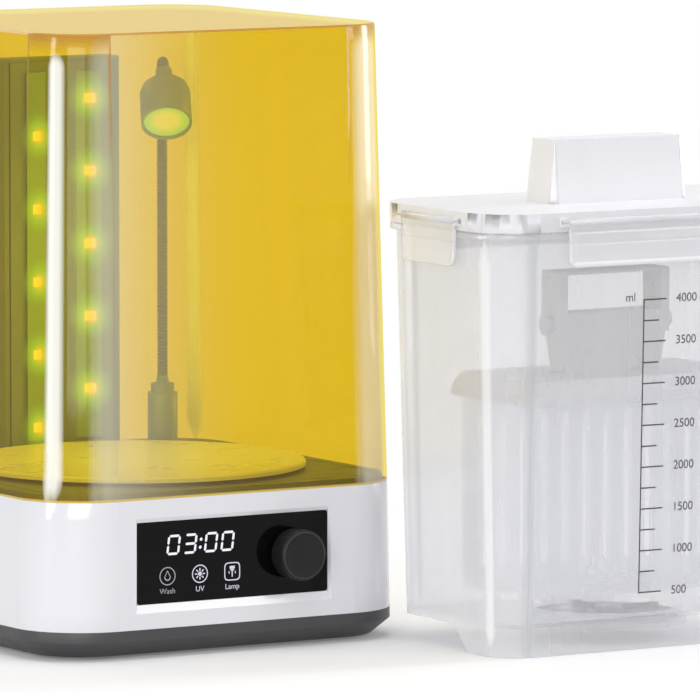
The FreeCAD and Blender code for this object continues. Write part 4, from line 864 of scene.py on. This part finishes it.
def ink_looks():
    LOOKS["mark_ink"] = plastic("mark_ink", linear(58, 58, 62), 0.6, 1200, 0.00001, 0.2)
    LOOKS["digit_light"] = glowing("digit_light", (0.92, 0.94, 1.0, 1), 1.0)
    LOOKS["icon_light"] = glowing("icon_light", (0.80, 0.80, 0.95, 1), 0.85)
    LOOKS["icon_dim"] = glowing("icon_dim", (0.60, 0.60, 0.64, 1), 0.6)


def make_floor():
    """A pale floor that keeps the shadow near the object and runs out into white further off.

    Camera, glossy and transmission rays see the far floor and the room as white."""
    look = Look("studio_floor")
    grain = look.spread(look.noise(4, 3), 0.985, 1.0)
    tone = look.blend(grain, (0.78, 0.78, 0.79, 1), (0.80, 0.80, 0.81, 1))
    matt = look.node("ShaderNodeBsdfDiffuse", Color=tone)
    path = look.node("ShaderNodeLightPath")
    mirrored = look.math("MAXIMUM", path.outputs["Is Glossy Ray"], path.outputs["Is Transmission Ray"])
    seen = look.math("MAXIMUM", path.outputs["Is Camera Ray"], mirrored)
    fill = look.node("ShaderNodeEmission", Color=(1, 1, 1, 1), Strength=look.math("MULTIPLY", seen, 0.14))
    both = look.node("ShaderNodeAddShader")
    look.tree.links.new(matt.outputs[0], both.inputs[0])
    look.tree.links.new(fill.outputs[0], both.inputs[1])
    away = look.node("ShaderNodeVectorMath", {"operation": "DISTANCE"})
    look.tree.links.new(look.place, away.inputs[0])
    away.inputs[1].default_value = (0, 0, 0)
    far = look.spread(away.outputs["Value"], 0, 1, FLOOR_NEAR, FLOOR_FAR)
    level = look.math("ADD", look.math("MULTIPLY", seen, 1 - ROOM_LEVEL), ROOM_LEVEL)
    white = look.node("ShaderNodeEmission", Color=(1, 1, 1, 1), Strength=level)
    material = look.show(look.mix(far, both, white))
    size = 14
    corners = [(-size, -size, 0), (size, -size, 0), (size, size, 0), (-size, size, 0)]
    mesh = mesh_of("floor", corners, [(0, 1, 2, 3)])
    floor = bpy.data.objects.new("floor", mesh)
    floor.location.z = -0.0002
    bpy.context.scene.collection.objects.link(floor)
    mesh.materials.append(material)


def area_light(name, azimuth, distance, height, width, tall, power, aim=0.17, colour=(1, 1, 1)):
    """A soft box; azimuth 0 is straight in front of the machine, and positive is to its right."""
    data = bpy.data.lights.new(name, "AREA")
    data.shape = "RECTANGLE"
    data.size = width
    data.size_y = tall
    data.energy = power
    data.color = colour
    light = bpy.data.objects.new(name, data)
    turn = math.radians(azimuth)
    light.location = MACHINE + Vector((distance * math.sin(turn), -distance * math.cos(turn), height))
    towards = MACHINE + Vector((0.05, -0.03, aim)) - light.location
    light.rotation_euler = towards.to_track_quat("-Z", "Y").to_euler()
    bpy.context.scene.collection.objects.link(light)


def chamber_light():
    """The light that the strips throw inside the cover."""
    data = bpy.data.lights.new("chamber", "POINT")
    data.energy = 0.2
    data.color = (0.92, 1.0, 0.62)
    data.shadow_soft_size = 0.03
    light = bpy.data.objects.new("chamber", data)
    light.location = (middle("uv_cover").x, middle("uv_cover").y, middle("uv_cover").z)
    light.visible_camera = False
    light.visible_glossy = False
    bpy.context.scene.collection.objects.link(light)


def make_lights():
    chamber_light()
    area_light("strip_left", -82, 1.9, 0.35, 0.30, 1.7, 12)
    area_light("front_left", -38, 2.6, 0.55, 1.5, 1.4, 26)
    area_light("rim_right", 79, 2.0, 0.4, 0.5, 1.6, 30)
    area_light("front_right", 40, 3.2, 1.6, 1.0, 1.0, 14)
    area_light("overhead", 0, 0.3, 2.2, 2.4, 2.4, 25)
    area_light("back", 180, 2.4, 1.2, 2.0, 1.2, 16)
    world = bpy.data.worlds.new("studio")
    bpy.context.scene.world = world
    world.use_nodes = True
    tree = world.node_tree
    tree.nodes.clear()
    path = tree.nodes.new("ShaderNodeLightPath")
    seen = path.outputs["Is Camera Ray"]
    for ray in ("Is Glossy Ray", "Is Transmission Ray"):
        both = tree.nodes.new("ShaderNodeMath")
        both.operation = "MAXIMUM"
        tree.links.new(seen, both.inputs[0])
        tree.links.new(path.outputs[ray], both.inputs[1])
        seen = both.outputs[0]
    level = tree.nodes.new("ShaderNodeMapRange")
    tree.links.new(seen, level.inputs["Value"])
    level.inputs["To Min"].default_value = ROOM_LEVEL
    level.inputs["To Max"].default_value = 1.0
    back = tree.nodes.new("ShaderNodeBackground")
    tree.links.new(level.outputs[0], back.inputs["Strength"])
    end = tree.nodes.new("ShaderNodeOutputWorld")
    tree.links.new(back.outputs[0], end.inputs["Surface"])


def make_pieces():
    make_knob()
    make_neck()
    make_digits()
    make_icons()
    make_labels()
    make_marks()
    make_flaps()
    make_glow("left")
    make_glow("right")


scene = bpy.context.scene
scene.view_settings.view_transform = "Standard"
scene.cycles.transparent_max_bounces = 48
make_camera()
make_looks()
ink_looks()
glow_look()
dress_nodes()
make_pieces()
make_floor()
make_lights()
